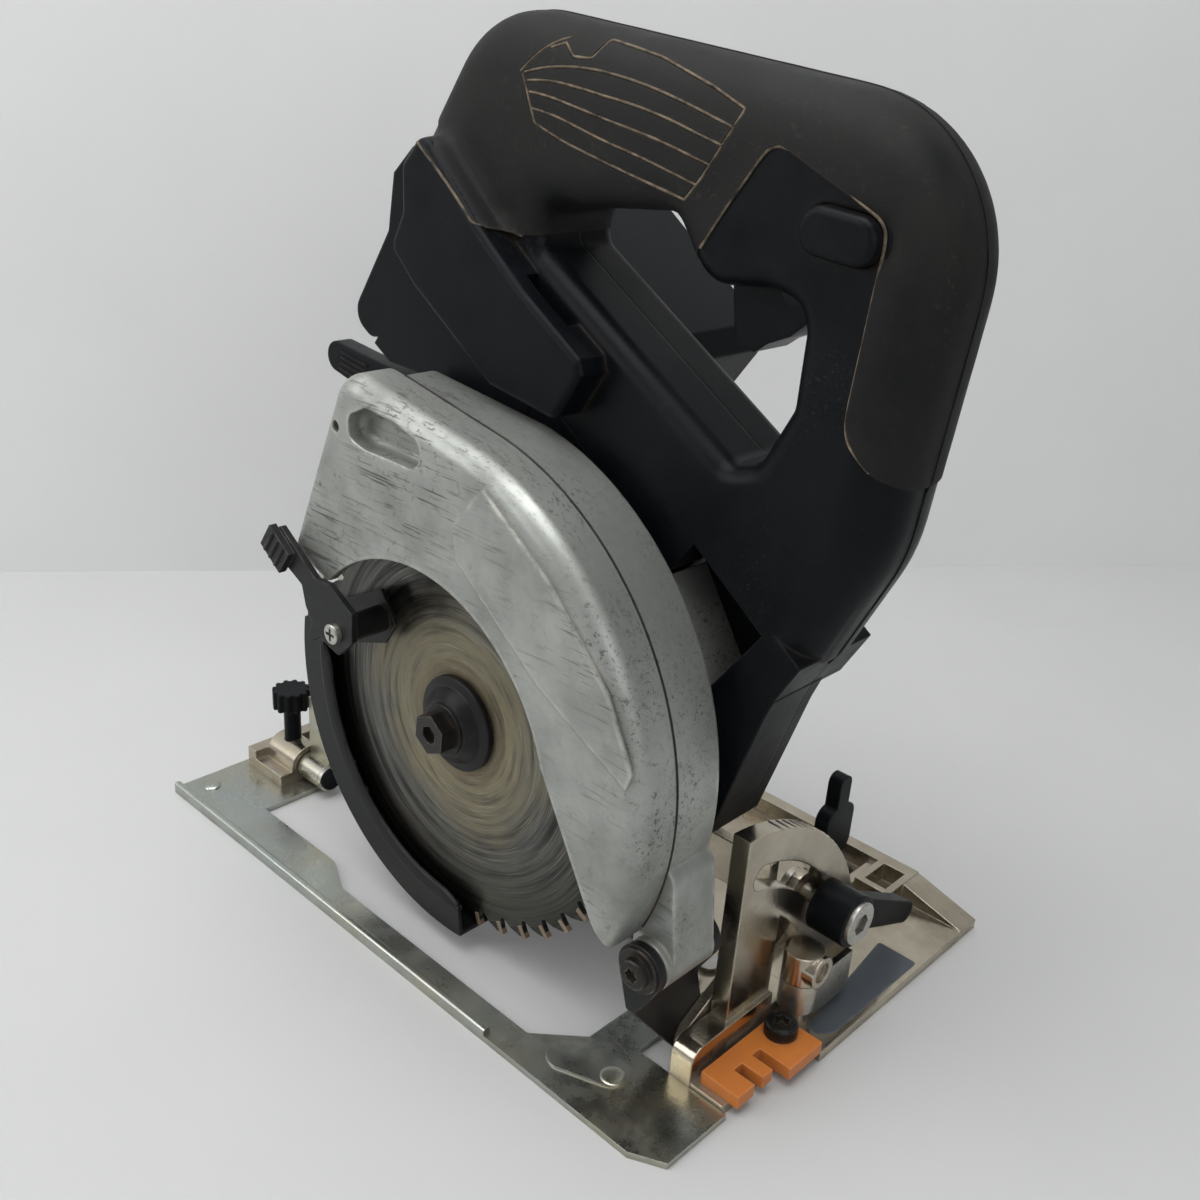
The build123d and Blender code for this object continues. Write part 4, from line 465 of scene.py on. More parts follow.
def makeBladeSteel(name, look):
    material, tree, shader, place = startMaterial(name)
    parts = addNode(tree, "ShaderNodeSeparateXYZ")
    plug(tree, turnScale(tree, place, move=(0, 0, -bodyPose["arborZ"])), parts.inputs[0])
    across = doMath(tree, "MULTIPLY", parts.outputs["X"], parts.outputs["X"])
    upward = doMath(tree, "MULTIPLY", parts.outputs["Z"], parts.outputs["Z"])
    radius = doMath(tree, "SQRT", doMath(tree, "ADD", across, upward))
    angle = doMath(tree, "ARCTAN2", parts.outputs["Z"], parts.outputs["X"])

    def rings(perMetre, perTurn, detail, rough):
        lay = addNode(tree, "ShaderNodeCombineXYZ")
        plug(tree, doMath(tree, "MULTIPLY", radius, perMetre), lay.inputs[0])
        plug(tree, doMath(tree, "MULTIPLY", doMath(tree, "SINE", angle), perTurn), lay.inputs[1])
        plug(tree, doMath(tree, "MULTIPLY", doMath(tree, "COSINE", angle), perTurn), lay.inputs[2])
        return addNoise(tree, lay.outputs[0], 1.0, detail, rough)

    def tint(under, amount, share, key):
        return mixColor(tree, doMath(tree, "MULTIPLY", amount, share), under, rgba(look[key]))

    fine, broad, patch = (rings(*look[key]) for key in ("fine", "broad", "patch"))
    bands = mapRange(tree, broad, *look["steelBands"])
    color = mixColor(tree, bands, rgba(look["dark"]), rgba(look["steel"]))
    inner = mapRange(tree, radius, *look["inner"], 1.0, 0.0)
    stain = mapRange(tree, doMath(tree, "ADD", inner, patch), *look["resinEdge"])
    stain = doMath(tree, "MULTIPLY", stain, mapRange(tree, broad, *look["resinBands"]))
    color = mixColor(tree, stain, color, rgba(look["resin"]))
    brown = mapRange(tree, broad, *look["brownBands"])
    brown = doMath(tree, "MULTIPLY", brown, mapRange(tree, patch, *look["brownPatch"]))
    color = tint(color, brown, look["brownMix"], "brown")
    collar = mapRange(tree, radius, *look["collar"], 1.0, 0.0)
    collar = doMath(tree, "MULTIPLY", collar, mapRange(tree, fine, *look["collarMarks"]))
    color = tint(color, collar, look["brownMix"], "brown")
    color = tint(color, mapRange(tree, fine, *look["streakEdge"]), look["streakMix"], "streak")
    color = tint(color, mapRange(tree, radius, *look["rimReach"]), look["rimMix"], "rim")
    rough = mapRange(tree, doMath(tree, "ADD", stain, brown), 0.0, look["stained"], *look["rough"])
    metal = mapRange(tree, stain, 0.0, 1.0, *look["metal"])
    bump = addBump(tree, fine, look["bump"], look["bumpDepth"]).outputs[0]
    plugAll(tree, shader, {"Base Color": color, "Roughness": rough, "Metallic": metal, "Normal": bump})
    return material


materials["bladeSteel"] = makeBladeSteel("bladeSteel", bladeLook)
print("materials made:", len(materials))

# CAD nodes: finish by node, then softened edges where the node shows
nodeFinish = {
    "silverPaint": ["case_inner", "case_outer"],
    "castNickel": ["base_shoe", "bevel_arm", "stop_post"],
    "zincSheet": ["base_strip", "depth_plate", "rear_bracket"],
    "zincBolt": [
        "case_screws", "stop_lever", "guard_lever_screw", "bevel_lock_bolt", "front_bevel_pin",
        "rear_bevel_pin", "strip_screws",
    ],
    "blackMetal": ["front_bracket", "lower_guard", "guard_lever"],
    "blackOxide": [
        "arbor_bolt", "outer_flange", "inner_flange", "depth_pivot_screw", "depth_lock_bolt", "sight_screw",
        "handle_screws",
    ],
    "blackPlastic": [
        "handle_left", "handle_right", "motor_housing", "motor_cap", "battery_housing", "terminal_block",
        "trigger", "lockoff_button", "shaft_lock", "switch", "fan", "depth_lever", "bevel_lever", "wing_bolt",
        "thumb_screw",
    ],
    "gripRubber": ["grip_left", "grip_right"],
    "orangePlastic": ["cut_sight"],
    "bladeSteel": ["saw_blade"],
    "brightSteel": [
        "guard_spring", "rotor_bearing", "rotor_tail_bearing", "spindle_bearing", "spindle_tail_bearing",
        "spindle",
    ],
    "gearSteel": ["drive_gear", "rotor"],
    "copperCoil": ["stator"],
    "boardGreen": ["control_board"],
}
softened = {  # width of the rounded edges, in metres
    0.0001: ["saw_blade"],
    0.0003: ["case_screws", "strip_screws", "handle_screws", "bevel_lock_bolt"],
    0.0004: [
        "guard_lever", "base_strip", "lower_guard", "guard_lever_screw", "depth_pivot_screw", "sight_screw",
        "depth_plate",
    ],
    0.0005: ["arbor_bolt", "outer_flange", "terminal_block"],
    0.0006: ["stop_lever", "stop_post", "depth_lever", "thumb_screw", "cut_sight"],
    0.0007: ["rear_bracket", "wing_bolt", "grip_left", "grip_right"],
    0.0008: ["base_shoe", "lockoff_button", "bevel_lever"],
    0.0009: [
        "case_inner", "case_outer", "front_bracket", "bevel_arm", "handle_left", "handle_right", "trigger",
    ],
    0.0010: ["motor_housing", "motor_cap", "battery_housing"],
}
dressed = {"weld": 0.00002, "flat": 1.0, "corner": 32.0, "segments": 2}


def paint(item, materialName):
    item.data.materials.clear()
    item.data.materials.append(materials[materialName])


def soften(item, width):
    weld = item.modifiers.new("weld", "WELD")
    weld.merge_threshold = dressed["weld"]
    flat = item.modifiers.new("flat", "DECIMATE")
    flat.decimate_type = "DISSOLVE"
    flat.angle_limit = math.radians(dressed["flat"])
    rounding = item.modifiers.new("round", "BEVEL")
    rounding.width = width
    rounding.segments = dressed["segments"]
    rounding.limit_method = "ANGLE"
    rounding.angle_limit = math.radians(dressed["corner"])
    rounding.use_clamp_overlap = True
    rounding.harden_normals = False
    close = item.modifiers.new("close", "WELD")
    close.merge_threshold = dressed["weld"]
    crisp = item.modifiers.new("crisp", "EDGE_SPLIT")
    crisp.split_angle = math.radians(dressed["corner"])
    shade = item.modifiers.new("shade", "WEIGHTED_NORMAL")
    shade.keep_sharp = False


for materialName, nodeNames in nodeFinish.items():
    for nodeName in nodeNames:
        paint(cadNodes[nodeName], materialName)
for width, nodeNames in softened.items():
    for nodeName in nodeNames:
        soften(cadNodes[nodeName], width)
for node in cadNodes.values():
    for polygon in node.data.polygons:
        polygon.use_smooth = True
print("nodes dressed:", sum(len(nodeNames) for nodeNames in softened.values()))


# mesh helpers
tiny = 1e-6
castFrom = -20  # y, in mm, of the right side that lines are dropped from


def evaluatedMesh(item):  # with its modifiers or its section
    graph = bpy.context.evaluated_depsgraph_get()
    graph.update()
    return bpy.data.meshes.new_from_object(item.evaluated_get(graph))


def bake(item):
    data = evaluatedMesh(item)
    item.modifiers.clear()
    item.data = data


def linkMesh(name, mesh):
    data = bpy.data.meshes.new(name)
    mesh.to_mesh(data)
    mesh.free()
    item = bpy.data.objects.new(name, data)
    scene.collection.objects.link(item)
    return item


def finishPiece(item, materialName, body, slotName, replaced=(), crease=35.0):
    paint(item, materialName)
    for polygon in item.data.polygons:
        polygon.use_smooth = True
    item.data.set_sharp_from_angle(angle=math.radians(crease))
    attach(item, body)
    if replaced:
        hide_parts(*replaced)


def combine(item, tool, operation, overlap=False):
    cut = item.modifiers.new("cut", "BOOLEAN")
    cut.operation = operation
    cut.solver = "EXACT"
    cut.use_self = overlap
    cut.object = tool
    bake(item)
    bpy.data.objects.remove(tool, do_unlink=True)


def roundEdges(mesh, edges, width, steps, verts):  # gives the verts that stay and the new ones
    rounded = bmesh.ops.bevel(
        mesh, geom=edges, offset=width / 1000, segments=steps, profile=0.5, affect="EDGES", material=-1,
    )
    return {vert for vert in verts if vert.is_valid} | set(rounded["verts"])


def runsAcross(edge):
    return abs(edge.verts[0].co.y - edge.verts[1].co.y) > tiny


# a prism from an outline (u, w) in mm, between y low and y high, its upright corners rounded
def addPrism(mesh, outline, low, high, corner=0.0, place=bodyTurn, steps=4):
    face = mesh.faces.new([mesh.verts.new((u / 1000, low / 1000, w / 1000)) for u, w in outline])
    grown = bmesh.ops.extrude_face_region(mesh, geom=[face])
    fresh = [part for part in grown["geom"] if isinstance(part, bmesh.types.BMVert)]
    bmesh.ops.translate(mesh, verts=fresh, vec=(0, (high - low) / 1000, 0))
    every = set(face.verts) | set(fresh)
    if corner:
        sides = [edge for edge in mesh.edges if edge.verts[0] in every and runsAcross(edge)]
        every = roundEdges(mesh, sides, corner, steps, every)
    bmesh.ops.transform(mesh, matrix=place, verts=list(every))
    bmesh.ops.recalc_face_normals(mesh, faces=mesh.faces)


def addTurned(mesh, profile, place, steps):  # profile (radius, height) in mm, spun about local Z
    before = set(mesh.verts)
    verts = [mesh.verts.new((radius / 1000, 0, height / 1000)) for radius, height in profile]
    edges = [mesh.edges.new(pair) for pair in zip(verts, verts[1:])]
    turn = {"axis": (0, 0, 1), "cent": (0, 0, 0), "angle": 2 * math.pi}
    bmesh.ops.spin(mesh, geom=verts + edges, steps=steps, use_merge=True, **turn)
    fresh = [vert for vert in mesh.verts if vert not in before]
    bmesh.ops.remove_doubles(mesh, verts=fresh, dist=tiny)
    fresh = [vert for vert in mesh.verts if vert not in before]
    bmesh.ops.transform(mesh, matrix=place, verts=fresh)
    bmesh.ops.recalc_face_normals(mesh, faces=mesh.faces)


# one piece of equal blocks, centred on their places: size and edge rounding in mm
def makeBlocks(name, look, places, *finish, **more):
    mesh = bmesh.new()
    for place in places:
        verts = bmesh.ops.create_cube(mesh, size=1.0)["verts"]
        bmesh.ops.scale(mesh, verts=verts, vec=[side / 1000 for side in look["size"]])
        fresh = set(verts)
        edges = [edge for edge in mesh.edges if edge.verts[0] in fresh]
        every = roundEdges(mesh, edges, *look["edge"], verts)
        bmesh.ops.transform(mesh, matrix=place, verts=list(every))
    finishPiece(linkMesh(name, mesh), *finish, **more)


def facing(place, axis):  # local Z along axis, origin at place in metres
    return Matrix.Translation(place) @ Vector(axis).to_track_quat("Z", "Y").to_matrix().to_4x4()


# a line dropped along Y on to a surface
def dropLine(tree, outline):
    dropped = [tree.ray_cast(bodyPoint(u, w, castFrom), Vector((0, 1, 0)))[0] for u, w in outline]
    return [spot for spot in dropped if spot is not None]


# lines given a round section, as one mesh
def linkLines(name, lines, radius, order=3):
    curve = bpy.data.curves.new(name, "CURVE")
    curve.dimensions = "3D"
    curve.bevel_depth = radius
    curve.bevel_resolution = 2
    curve.resolution_u = 5
    curve.use_fill_caps = True
    for line in lines:
        spline = curve.splines.new("NURBS")
        spline.points.add(len(line) - 1)
        for point, spot in zip(spline.points, line):
            point.co = (*spot, 1.0)
        spline.use_endpoint_u = True
        spline.order_u = order
    item = bpy.data.objects.new(name, curve)
    scene.collection.objects.link(item)
    mesh = bmesh.new()
    mesh.from_mesh(evaluatedMesh(item))
    bpy.data.objects.remove(item, do_unlink=True)
    return linkMesh(name, mesh)


# Rubber over the arch of the handle: the moulded arch, softened and thickened, trimmed to its outline
rubber = {
    "voxel": 0.0020, "ease": 0.5, "rounds": 14, "grow": 0.0009, "crease": 40.0,
    "y": (-20, 110), "corner": 4.0,
    "region": [
        (-190, 134.5), (-129, 134.6), (-107, 132.5), (-97.5, 136.5), (-85, 150), (-60, 172), (-43.5, 172),
        (-43.5, 221.5), (-3, 230), (24, 184), (36, 180), (85, 186), (85, 300), (-190, 300),
    ],
    "grooveRadius": 0.0006, "dustRadius": 0.00042, "dustSink": 0.00025,
    "grooves": {  # by curve order: 2 runs straight from point to point, 3 is smooth
        2: [
            [(-123.5, 186), (-120.5, 190), (-114.5, 190), (-108.5, 194), (-109.5, 200), (-99.5, 205),
             (-90, 209.5), (-79.5, 213.3), (-69, 217), (-56, 220.5), (-55.4, 215.8)],
        ],
        3: [
            [(-128, 174), (-127, 179), (-125.5, 184), (-123.5, 188.5), (-121, 191.5)],
            [(-126.3, 175), (-123, 179), (-116.5, 185), (-107.5, 191.7), (-96.5, 198), (-85.5, 203.4),
             (-75, 207.8), (-64.5, 211.8), (-55.6, 215)],
            [(-123.7, 174.1), (-118.6, 178.6), (-109.5, 184.2), (-98, 190.2), (-86.4, 196.5), (-74.5, 202),
             (-64, 206), (-54.8, 209.6)],
            [(-120.9, 172.3), (-116, 175.5), (-104.7, 180.9), (-90.9, 187.2), (-77, 194), (-66.6, 198.5),
             (-54.5, 203.2)],
            [(-116.8, 169.6), (-110.3, 173.3), (-101.4, 176.9), (-88.8, 181.8), (-76.2, 187.5),
             (-64.6, 192.2), (-54.5, 196.2)],
            [(-113.4, 167.1), (-102.5, 170.2), (-89.8, 175.5), (-78.5, 180.2), (-69, 184.2), (-55.5, 190)],
            [(-126.8, 174), (-122, 171.9), (-118.2, 169.7), (-113.4, 167.1)],
            [(-55.2, 215.4), (-54.8, 209.6), (-54.5, 203), (-54.5, 196.2), (-55.5, 190)],
        ],
    },
}


def makeRubber(look):
    mesh = bmesh.new()
    for nodeName in ("handle_right", "handle_left", "grip_right", "grip_left"):
        mesh.from_mesh(cadNodes[nodeName].data)
    bmesh.ops.remove_doubles(mesh, verts=mesh.verts, dist=dressed["weld"])
    item = linkMesh("handleRubber", mesh)
    fill = item.modifiers.new("fill", "REMESH")
    fill.mode = "VOXEL"
    fill.voxel_size = look["voxel"]
    ease = item.modifiers.new("ease", "SMOOTH")
    ease.factor = look["ease"]
    ease.iterations = look["rounds"]
    grow = item.modifiers.new("grow", "DISPLACE")
    grow.strength = look["grow"]
    grow.mid_level = 0.0
    bake(item)
    trim = bmesh.new()
    addPrism(trim, look["region"], *look["y"], look["corner"])
    combine(item, linkMesh("rubberTrim", trim), "INTERSECT")
    tree = BVHTree.FromObject(item, bpy.context.evaluated_depsgraph_get())
    dropped = {order: [dropLine(tree, line) for line in lines] for order, lines in look["grooves"].items()}
    for order, lines in dropped.items():
        combine(item, linkLines("grooveTool", lines, look["grooveRadius"], order), "DIFFERENCE", True)
    finishPiece(item, "gripRubber", "saw_body", "grip_rubber", ("grip_right", "grip_left"), look["crease"])
    for order, lines in dropped.items():
        sunk = [[spot + Vector((0, look["dustSink"], 0)) for spot in line] for line in lines]
        dust = linkLines(f"gripDust{order}", sunk, look["dustRadius"], order)
        finishPiece(dust, "sawDust", "saw_body", "grip_rubber")
    return item


rubberItem = makeRubber(rubber)
print("handle rubber made")


# dusty seams: round the plastic inset on the right of the handle and at the foot of the rubber
seams = {
    "radius": 0.00045, "proud": 0.0004,
    "lines": [
        [(-42.9, 184), (-43.6, 194), (-43.4, 206), (-43.6, 214), (-43, 219.5), (-39, 223), (-28, 225.6),
         (-10, 228.7), (-4.8, 229.3), (-1.2, 227.2), (4, 218), (14, 201), (21.5, 188), (25.5, 183), (31, 181),
         (37, 180.4)],
        [(-143, 134.3), (-129, 134.4), (-120, 133.8), (-112, 132.9), (-107.5, 132.3), (-103, 134),
         (-97.5, 136.5), (-91, 142.5)],
    ],
}


def surfaceTree(*items):
    mesh = bmesh.new()
    for item in items:
        mesh.from_mesh(item.data)
    tree = BVHTree.FromBMesh(mesh)
    mesh.free()
    return tree


def makeSeams(look):
    tree = surfaceTree(cadNodes["handle_right"])
    proud = Vector((0, look["proud"], 0))
    lines = [[spot - proud for spot in dropLine(tree, line)] for line in look["lines"]]
    finishPiece(linkLines("handleSeams", lines, look["radius"]), "sawDust", "saw_body", "grip_rubber")


makeSeams(seams)


# dark parting line between the handle halves, cast on to the outside of the arch
parting = {
    "centre": (-45, 165), "far": 230.0, "angles": (-24, 172), "steps": 96, "y": 42.0, "section": 0.00035,
}


def makeParting(look):
    tree = surfaceTree(rubberItem, cadNodes["handle_left"])
    u, w = look["centre"]
    middle = bodyPoint(u, w, look["y"])
    line = []
    for angle in spread(look["angles"], look["steps"]):
        turn = math.radians(angle)
        start = bodyPoint(u + look["far"] * math.cos(turn), w + look["far"] * math.sin(turn), look["y"])
        line.append(tree.ray_cast(start, (middle - start).normalized())[0])
    item = linkLines("handleParting", [line], look["section"])
    finishPiece(item, "blackPlastic", "saw_body", "black_plastic")


makeParting(parting)


# lower skirt of the housing, carried on along the case to the saddle
skirt = {
    "outline": [(-66, 82), (-64, 90), (-58, 105), (-30, 105), (-36, 96)], "y": (22.2, 25.8), "corner": 1.0,
}


def makeSkirt(look):
    mesh = bmesh.new()
    addPrism(mesh, look["outline"], *look["y"], look["corner"])
    finishPiece(linkMesh("housingSkirt", mesh), "blackPlastic", "saw_body", "black_plastic")


makeSkirt(skirt)


# carbide tips brazed to the front of each tooth
tips = {
    "count": 40, "tipRadius": 80.1, "size": (2.0, 2.3, 5.2), "edge": (0.15, 1), "behind": 0.9, "lean": 9.0,
    "crease": 25.0,
}


def makeTips(look):
    reach = look["tipRadius"] / 1000
    shift = Matrix.Translation((look["behind"] / 1000, 0, 0))
    places = []
    for index in range(look["count"]):
        angle = 2 * math.pi * index / look["count"]
        spot = Matrix.Translation((reach * math.cos(angle), 0, reach * math.sin(angle)))
        face = Matrix.Rotation(math.pi / 2 - angle - math.radians(look["lean"]), 4, "Y")
        places.append(bodyTurn @ spot @ face @ shift)
    makeBlocks("carbideTips", look, places, "carbide", "blade_shaft", "blade_steel", crease=look["crease"])


makeTips(tips)

# screw and bolt heads: a turned rim with a driven recess, over a shank where there is one
headShape = {
    "steps": 48, "crease": 30.0, "rim": 0.3, "rimArc": (0.12, 0.5), "lip": 0.5, "shankEnd": 0.5,
    "washerEdge": 0.3, "crossArm": 0.22, "starPoints": 36, "starLobes": (0.86, 0.14), "recessOver": 1,
}
heads = {
    "leverScrew": {
        "at": (-36.8, -27.5, 124.4), "axis": (0, -1, 0), "radius": 3.8, "height": 2.4, "shank": (2.0, 18.5),
        "recess": "cross", "reach": 2.5, "depth": 1.3, "replaces": ("guard_lever_screw",),
        "material": "zincBolt", "body": "guard", "slot": "bright_steel",
    },
    "sightScrew": {
        "at": (123, 43, 9), "axis": (0, 0, 1), "radius": 6.0, "height": 5.0, "shank": (2.5, 5.0),
        "recess": "star", "reach": 3.1, "depth": 2.6, "replaces": ("sight_screw",),
        "material": "blackOxide", "body": "base", "slot": "black_metal",
    },
    "pivotScrew": {
        "at": (100, -10.5, 52), "axis": (0, -1, 0), "radius": 5.4, "height": 4.0, "washer": (8.0, 0.9),
        "shank": (4.0, 34.5), "recess": "star", "reach": 2.7, "depth": 2.2,
        "replaces": ("depth_pivot_screw",),
        "material": "blackOxide", "body": "carriage", "slot": "black_metal",
    },
    "bevelBoltEnd": {
        "at": (127.2, 76.3, 41.5), "axis": (1, 0, 0), "radius": 8.2, "height": 1.8,
        "recess": "hex", "reach": 4.2, "depth": 1.6,
        "material": "zincBolt", "body": "bevel_lever", "slot": "zinc_steel",
    },
    "rearPinPlug": {
        "at": (-110.1, 20.0, 9.0), "axis": (1, 0, 0), "radius": 5.0, "height": 1.3, "dish": 0.2,
        "material": "blackPlastic", "body": "carriage", "slot": "black_plastic",
    },
}


def recessOutline(kind, reach, shape):
    if kind == "hex":
        return [(reach * math.cos(math.pi * i / 3), reach * math.sin(math.pi * i / 3)) for i in range(6)]
    if kind == "cross":
        arm = reach * shape["crossArm"]
        corner = [(reach, -arm), (reach, arm), (arm, arm)]
        turns = [Matrix.Rotation(math.pi / 2 * i, 2) for i in range(4)]
        return [tuple(turn @ Vector(spot)) for turn in turns for spot in corner]
    middle, wave = shape["starLobes"]
    outline = []
    for index in range(shape["starPoints"]):
        angle = 2 * math.pi * index / shape["starPoints"]
        size = reach * (middle + wave * math.cos(6 * angle))  # six lobes
        outline.append((size * math.cos(angle), size * math.sin(angle)))
    return outline


def headProfile(look, shape):
    wide, tall, dish = look["radius"], look["height"], look.get("dish", 0.0)
    rim = min(wide, tall) * shape["rim"]
    near, far = (rim * share for share in shape["rimArc"])
    profile = [(0, 0)]
    if "shank" in look:
        thin, long = look["shank"]
        end = shape["shankEnd"]
        profile = [(0, -long), (thin - end, -long), (thin, -long + end), (thin, 0)]
    if "washer" in look:
        disc, thick = look["washer"]
        edge = thick * shape["washerEdge"]
        profile += [(disc, 0), (disc, thick - edge), (disc - edge, thick), (wide, thick)]
    else:
        profile += [(wide, 0)]
    profile += [(wide, tall - rim), (wide - near, tall - far), (wide - far, tall - near), (wide - rim, tall)]
    return profile + [(wide - rim - shape["lip"], tall - dish), (0, tall - dish)]


def makeHead(name, look, shape):
    place = facing([part / 1000 for part in look["at"]], look["axis"])
    mesh = bmesh.new()
    addTurned(mesh, headProfile(look, shape), place, shape["steps"])
    item = linkMesh(name, mesh)
    if "recess" in look:
        tool = bmesh.new()
        upright = place @ Matrix.Rotation(math.pi / 2, 4, "X")
        outline = recessOutline(look["recess"], look["reach"], shape)
        top = look["height"]
        addPrism(tool, outline, top - look["depth"], top + shape["recessOver"], place=upright)
        combine(item, linkMesh(name + "Recess", tool), "DIFFERENCE")
    finishPiece(item, look["material"], look["body"], look["slot"], look.get("replaces", ()), shape["crease"])


for name, look in heads.items():
    makeHead(name, look, headShape)

# stepped outer flange with the bolt's washer on its nose
flange = {
    "y": -0.9, "steps": 64, "crease": 30.0,
    "profile": [
        (4.2, 0), (18, 0), (18, 2.2), (17.6, 2.6), (14.6, 3.4), (14.0, 4.4), (11.2, 6.2), (10.6, 7.0),
        (9.8, 7.0), (9.8, 8.0), (9.4, 8.4), (4.2, 8.4), (4.2, 0),
    ],
}


def makeFlange(look):
    mesh = bmesh.new()
    addTurned(mesh, look["profile"], facing(bodyPoint(0, 0, look["y"]), (0, -1, 0)), look["steps"])
    item = linkMesh("flangeTurned", mesh)
    finishPiece(item, "blackMetal", "blade_shaft", "black_metal", ("outer_flange",), look["crease"])


makeFlange(flange)

# ribs of the finger tab on the guard lever
tabRibs = {
    "u": -86.0, "w": 2.5, "y": -30.6, "count": 3, "step": 3.6, "size": (1.6, 1.4, 10.0), "edge": (0.6, 3),
}


def makeTabRibs(look):
    places = []
    for shift in spaced(look["count"], look["step"]):
        spot = Matrix.Translation(((look["u"] + shift) / 1000, look["y"] / 1000, look["w"] / 1000))
        places.append(bodyTurn @ spot)
    makeBlocks("tabRibs", look, places, "blackMetal", "guard", "black_metal")


makeTabRibs(tabRibs)

# turned lip along the inner edge of the guard's band, running out at both ends
guardLip = {
    "angles": (212.0, 311.0), "steps": 72, "runOut": 8.0, "fade": 3.6,
    "section": [  # radius and y
        (75.5, -6.6), (75.2, -7.55), (71.2, -7.55), (70.2, -7.1), (69.8, -6.2), (70.2, -5.4), (71.0, -5.2),
        (74.5, -5.9),
    ],
}


def makeGuardLip(look):
    mesh = bmesh.new()
    first, last = look["angles"]
    outer = look["section"][0][0]
    rows = []
    for angle in spread(look["angles"], look["steps"]):
        near = min(1.0, min(angle - first, last - angle) / look["runOut"])
        thin = look["fade"] * (1 - near) ** 2  # inner edge moves out toward an end
        turn = math.radians(angle)
        row = []
        for radius, y in look["section"]:
            reach = min(radius + thin, outer)
            row.append(mesh.verts.new(bodyPoint(reach * math.cos(turn), reach * math.sin(turn), y)))
        rows.append(row)
    for row, after in zip(rows, rows[1:]):
        for index in range(len(row)):  # index - 1 closes the section
            mesh.faces.new((row[index - 1], row[index], after[index], after[index - 1]))
    mesh.faces.new(rows[0])
    mesh.faces.new(rows[-1])
    bmesh.ops.recalc_face_normals(mesh, faces=mesh.faces)
    finishPiece(linkMesh("guardLip", mesh), "blackMetal", "guard", "black_metal")


makeGuardLip(guardLip)

# lengthwise ribs on the end of the depth lever
leverRibs = {
    "middle": (-141.5, 28.7, 26.2), "turn": 26.57,  # u, y and w, and degrees from the body's axis
    "count": 4, "step": 2.3, "size": (17.0, 1.2, 0.9), "edge": (0.3, 2),
}


def makeLeverRibs(look):
    axis = bodyTurn @ Matrix.Translation(Vector(look["middle"]) / 1000)
    axis = axis @ Matrix.Rotation(-math.radians(look["turn"]), 4, "Y")
    shifts = spaced(look["count"], look["step"])
    places = [axis @ Matrix.Translation((0, 0, shift / 1000)) for shift in shifts]
    makeBlocks("depthLeverRibs", look, places, "blackPlastic", "depth_lever", "black_plastic")


makeLeverRibs(leverRibs)

# graduation ridges over the top of the bevel quadrant
ridges = {
    "x": 108.5, "axisY": 20.0, "axisZ": 9.0, "radius": 81.9, "angles": (17, 48), "count": 11,
    "size": (6.4, 0.9, 1.0), "edge": (0.25, 2),
}


def makeRidges(look):
    places = []
    for angle in spread(look["angles"], look["count"] - 1):
        turn = math.radians(angle)
        y = look["axisY"] + look["radius"] * math.sin(turn)
        z = look["axisZ"] + look["radius"] * math.cos(turn)
        spot = Matrix.Translation(Vector((look["x"], y, z)) / 1000)
        places.append(spot @ Matrix.Rotation(-turn, 4, "X"))
    makeBlocks("quadrantRidges", look, places, "castNickel", "base", "cast_nickel")


makeRidges(ridges)

# blank film on the shoe's front edge
film = {
    "outline": [(117, 117.5), (133.8, 117.5), (133.8, 62), (129.5, 56.5), (125, 58)],
    "floor": 4.0, "thick": 0.15, "corner": 1.5,
}


def makeFilm(look):
    mesh = bmesh.new()
    level = Matrix.Rotation(math.pi / 2, 4, "X")  # prism depth turned upright
    flipped = [(x, -y) for x, y in look["outline"]]
    addPrism(mesh, flipped, look["floor"], look["floor"] + look["thick"], look["corner"], level)
    finishPiece(linkMesh("shoeFilm", mesh), "labelFilm", "base", "black_plastic")


makeFilm(film)

# pressed domes in the strip
domes = {
    "spots": [(93.6, -11.0, 3.25, 4.6, 0.45), (-147.3, -17.3, 2.45, 3.8, 1.1)],  # x, y, z, radius and rise
    "sunk": -0.2, "arc": [(0.93, 0.3), (0.75, 0.75), (0.45, 1.0), (0.0, 1.03)],  # shares of radius and rise
    "steps": 32, "crease": 60.0,
}


def makeDomes(look):
    mesh = bmesh.new()
    for x, y, z, wide, rise in look["spots"]:
        profile = [(wide, look["sunk"])] + [(wide * out, rise * up) for out, up in look["arc"]]
        addTurned(mesh, profile, Matrix.Translation((x / 1000, y / 1000, z / 1000)), look["steps"])
    finishPiece(linkMesh("stripDomes", mesh), "zincSheet", "base", "zinc_steel", crease=look["crease"])


makeDomes(domes)

# dark parting line round the rim of the blade case
caseSeam = {
    "centre": (-6, 8), "radius": 103.8, "angles": (11, 113), "steps": 40, "tail": (-92, 82.6), "y": -4.0,
    "section": 0.0004,
}


def makeCaseSeam(look):
    middle = Vector(look["centre"])
    turns = [math.radians(angle) for angle in spread(look["angles"], look["steps"])]
    rim = [middle + look["radius"] * Vector((math.cos(turn), math.sin(turn))) for turn in turns]
    lines = [[bodyPoint(*spot, look["y"]) for spot in line] for line in (rim, (rim[-1], look["tail"]))]
    item = linkLines("caseSeam", lines, look["section"], 2)
    finishPiece(item, "blackMetal", "saw_body", "silver_paint")


makeCaseSeam(caseSeam)
print("small pieces made")

# camera: the photograph's own angle
cameraPose = {
    "place": (0.30131, -0.26534, 0.32624), "azimuth": 42.027, "elevation": 24.264, "roll": 4.2055,
    "focal": 1280.951, "photo": 1200.0, "sensor": 36.0, "clip": (0.01, 20.0),
}


